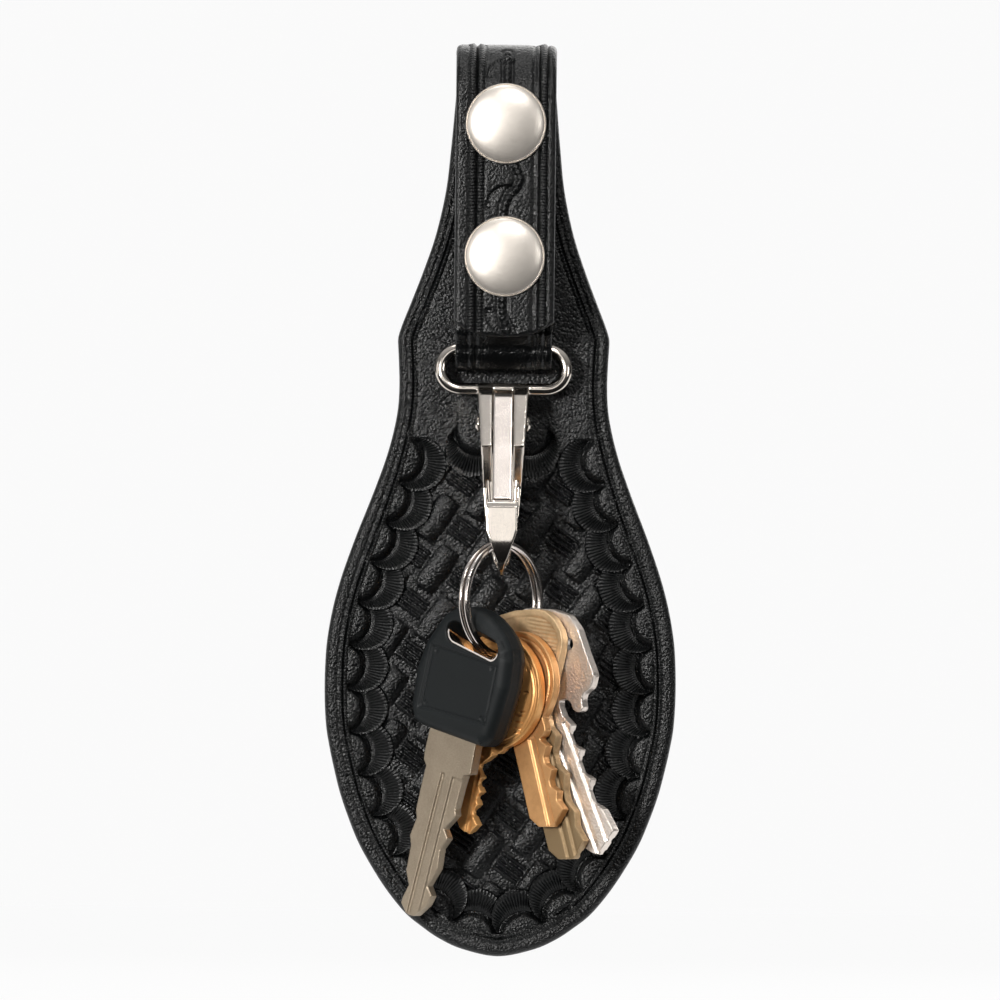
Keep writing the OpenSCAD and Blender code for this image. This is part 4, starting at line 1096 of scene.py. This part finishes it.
def lineDistance(flat, line):
    # distance from a closed line, and the direction inwards
    step = np.roll(line, -1, axis=0) - line
    length = np.hypot(*step.T)
    inward = np.stack([-step[:, 1], step[:, 0]], 1) / length[:, None]
    best, side = np.full(len(flat), 1e9), np.zeros((len(flat), 2))
    for k in range(len(line)):
        rel = flat - line[k]
        t = np.clip(rel @ step[k] / length[k] ** 2, 0, 1)
        gap = np.hypot(*(rel - t[:, None] * step[k]).T)
        near = gap < best
        best[near], side[near] = gap[near], inward[k]
    return best, side


headShape = {"thick": 7.8, "frontRound": 2.3, "backRound": 3.6,
             "lineDeep": 0.3, "dotDeep": 0.2, "dotRadius": 0.5,
             "panel": [(-13.44, -13.2), (2.98, -16.56), (5.86, -5.52), (-10.32, -1.56)]}


def headForm(points, normals):
    # round rims on both faces and a thin line round the square
    s = headShape
    points = points.copy()
    flat = points[:, [0, 2]]
    e, inward = lineDistance(flat, hullLine(flat))
    for face, radius, sign in ((0, s["frontRound"], 1), (s["thick"], s["backRound"], -1)):
        depth = np.abs(points[:, 1] - face)
        near = np.maximum(e, depth) < radius
        turn = math.pi / 4 * (1 + (depth - e) / radius)
        shift = np.where(near, radius * (1 - np.sin(turn)) - e, 0)
        points[:, 0] += inward[:, 0] * shift
        points[:, 2] += inward[:, 1] * shift
        points[:, 1] = np.where(near, face + sign * radius * (1 - np.cos(turn)), points[:, 1])
    gap, _ = lineDistance(flat, np.array(s["panel"]))
    front = (normals[:, 1] < -0.6) & (points[:, 1] < 1)
    mark = s["lineDeep"] * bell(gap - 0.15, 0.2)
    middle = np.mean(s["panel"], axis=0)
    for corner in s["panel"]:
        dot = np.array(corner) + (middle - corner) * 0.14
        mark = np.maximum(mark, s["dotDeep"] * (np.hypot(*(flat - dot).T) < s["dotRadius"]))
    points[:, 1] += np.where(front, mark, 0)
    return points, np.where(front, 0.5 * bell(gap - 0.45, 0.15), 0) + 0.5 * bell(e - 0.6, 0.5)


# a round bow's middle lies drop below the ring's wire; ticks are a height and the ends of a short line

frontBowShape = {"turn": -13.6, "drop": 6.9, "fieldR": 9.3, "lineR": 10.2,
                 "fieldDeep": 0.14, "lineDeep": 0.20,
                 "ticks": [(-6.8, 5.4, 6.5), (-10.5, 4.3, 5.9), (-11.2, 3.1, 5.6), (-12.4, 3.1, 5.3),
                           (-13.5, 2.8, 5.0), (-14.4, 2.8, 4.7)], "tickDeep": 0.25}
rearBowShape = {"turn": 17.4, "drop": 5.4, "fieldR": 7.95, "lineR": 6.8, "fieldDeep": 0.14, "lineDeep": 0.24,
                "lineTurn": (-35, 60), "tickTurn": (-45, 8), "tickR": (5.1, 6.0), "tickPitch": 6,
                "tickDeep": 0.22}
ribShape = {"pitch": 0.72, "lean": (0.12, 0.99), "rim": 1.05, "lowZ": -12, "shadeZ": -13.0,
            "fieldDeep": 0.10, "ribDeep": 0.17,
            "line": [(-6, 6.2), (-1, 7.4), (4, 7.7), (6.4, 7.4), (8.8, 6), (10.5, 3.8), (11.1, 1.8),
                     (10.8, -0.4), (10, -3.1), (8.2, -9.7), (6.8, -14), (0, -14), (-7, -8), (-9.5, -2),
                     (-8.6, 2.6)]}


def between(value, ends):
    return (value > ends[0]) & (value < ends[1])


def bowPolar(x, z, s):
    # radius and turn about the bow's middle
    a = math.radians(s["turn"])
    dx, dz = x - s["drop"] * math.sin(a), z + s["drop"] * math.cos(a)
    return np.hypot(dx, dz), np.degrees(np.arctan2(dz, dx))


def frontBow(x, z):
    s = frontBowShape
    r, _ = bowPolar(x, z, s)
    depth = s["fieldDeep"] * smoothStep((s["fieldR"] - r) / 0.4) + s["lineDeep"] * bell(r - s["lineR"], 0.16)
    for tickZ, low, high in s["ticks"]:
        inTick = (np.abs(z - tickZ + 0.1 * (x - low)) < 0.15) & between(x, (low, high))
        depth = depth + s["tickDeep"] * inTick
    return depth


def rearBow(x, z):
    s = rearBowShape
    r, turn = bowPolar(x, z, s)
    line = bell(r - s["lineR"], 0.16) * between(turn, s["lineTurn"])
    ticks = (np.abs((turn + 90) % s["tickPitch"] - s["tickPitch"] / 2) < 0.8) & between(r, s["tickR"])
    ticks = ticks & between(turn, s["tickTurn"])
    field = s["fieldDeep"] * smoothStep((s["fieldR"] - r) / 0.35)
    return field + s["lineDeep"] * line + s["tickDeep"] * ticks


def ribbedBow(x, z):
    # a broad plain rim and ribs across the inside, fading to the left
    s = ribShape
    e, _ = lineDistance(np.stack([x, z], 1), np.array(s["line"])[::-1])
    inner = smoothStep((e - s["rim"]) / 0.35) * (z > s["lowZ"])
    rib = 0.5 + 0.5 * np.cos((x * s["lean"][0] + z * s["lean"][1]) * math.tau / s["pitch"])
    return inner * (s["fieldDeep"] + s["ribDeep"] * rib * smoothStep((x - 1.5) / 3))


def flatKey(node, name, seat, finish, rounds=3, shape=None):
    faces = [(1, 0), (1, keyShape["thick"])]
    place = keyPlace(keySeats[seat])
    softCopy(node, name, node, finish, place, keyShape["voxel"], rounds, faces, shape)


flatKey("round_key_front", "brass_key_front", "front", "frontBrass", shape=faceCarver(frontBow))
flatKey("round_key_rear", "brass_key_rear", "rear", "rearBrass", shape=faceCarver(rearBow))
# the ribbed key's blade below shadeZ is darkened as painted shade
flatKey("ribbed_key", "brass_key_ribbed", "ribbed", "ribbedBrass",
        shape=faceCarver(ribbedBow, ribShape["shadeZ"]))
flatKey("angular_key", "silver_key", "angular", "angularSilver", rounds=2)
headPlace = keyPlace(keySeats["head"])
softCopy("car_key_blade", "car_blade", "car_key", "bladeSteel", headPlace, 0.15, 2,
         [(1, 2.8), (1, 5.0)])
softCopy("car_key_head", "car_head", "car_key", "headPlastic", headPlace, 0.17, 5,
         shape=headForm)


# carried-over nodes

carriedFinishes = {
    "plainNickel": ["pad_rivets", "rivet_burrs", "upper_snap_socket", "lower_snap_socket", "upper_snap_stud",
                    "lower_snap_stud", "upper_snap_eyelet", "lower_snap_eyelet"],
    "springSteel": ["gate_spring"],
    "ringNickel": ["slot_liner"],
}
for finish, nodes in carriedFinishes.items():
    for node in nodes:
        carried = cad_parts[node]
        if not carried.material_slots:
            carried.data.materials.append(None)
        for materialSlot in carried.material_slots:
            materialSlot.material = finishes[finish]
print("carried-over nodes finished")
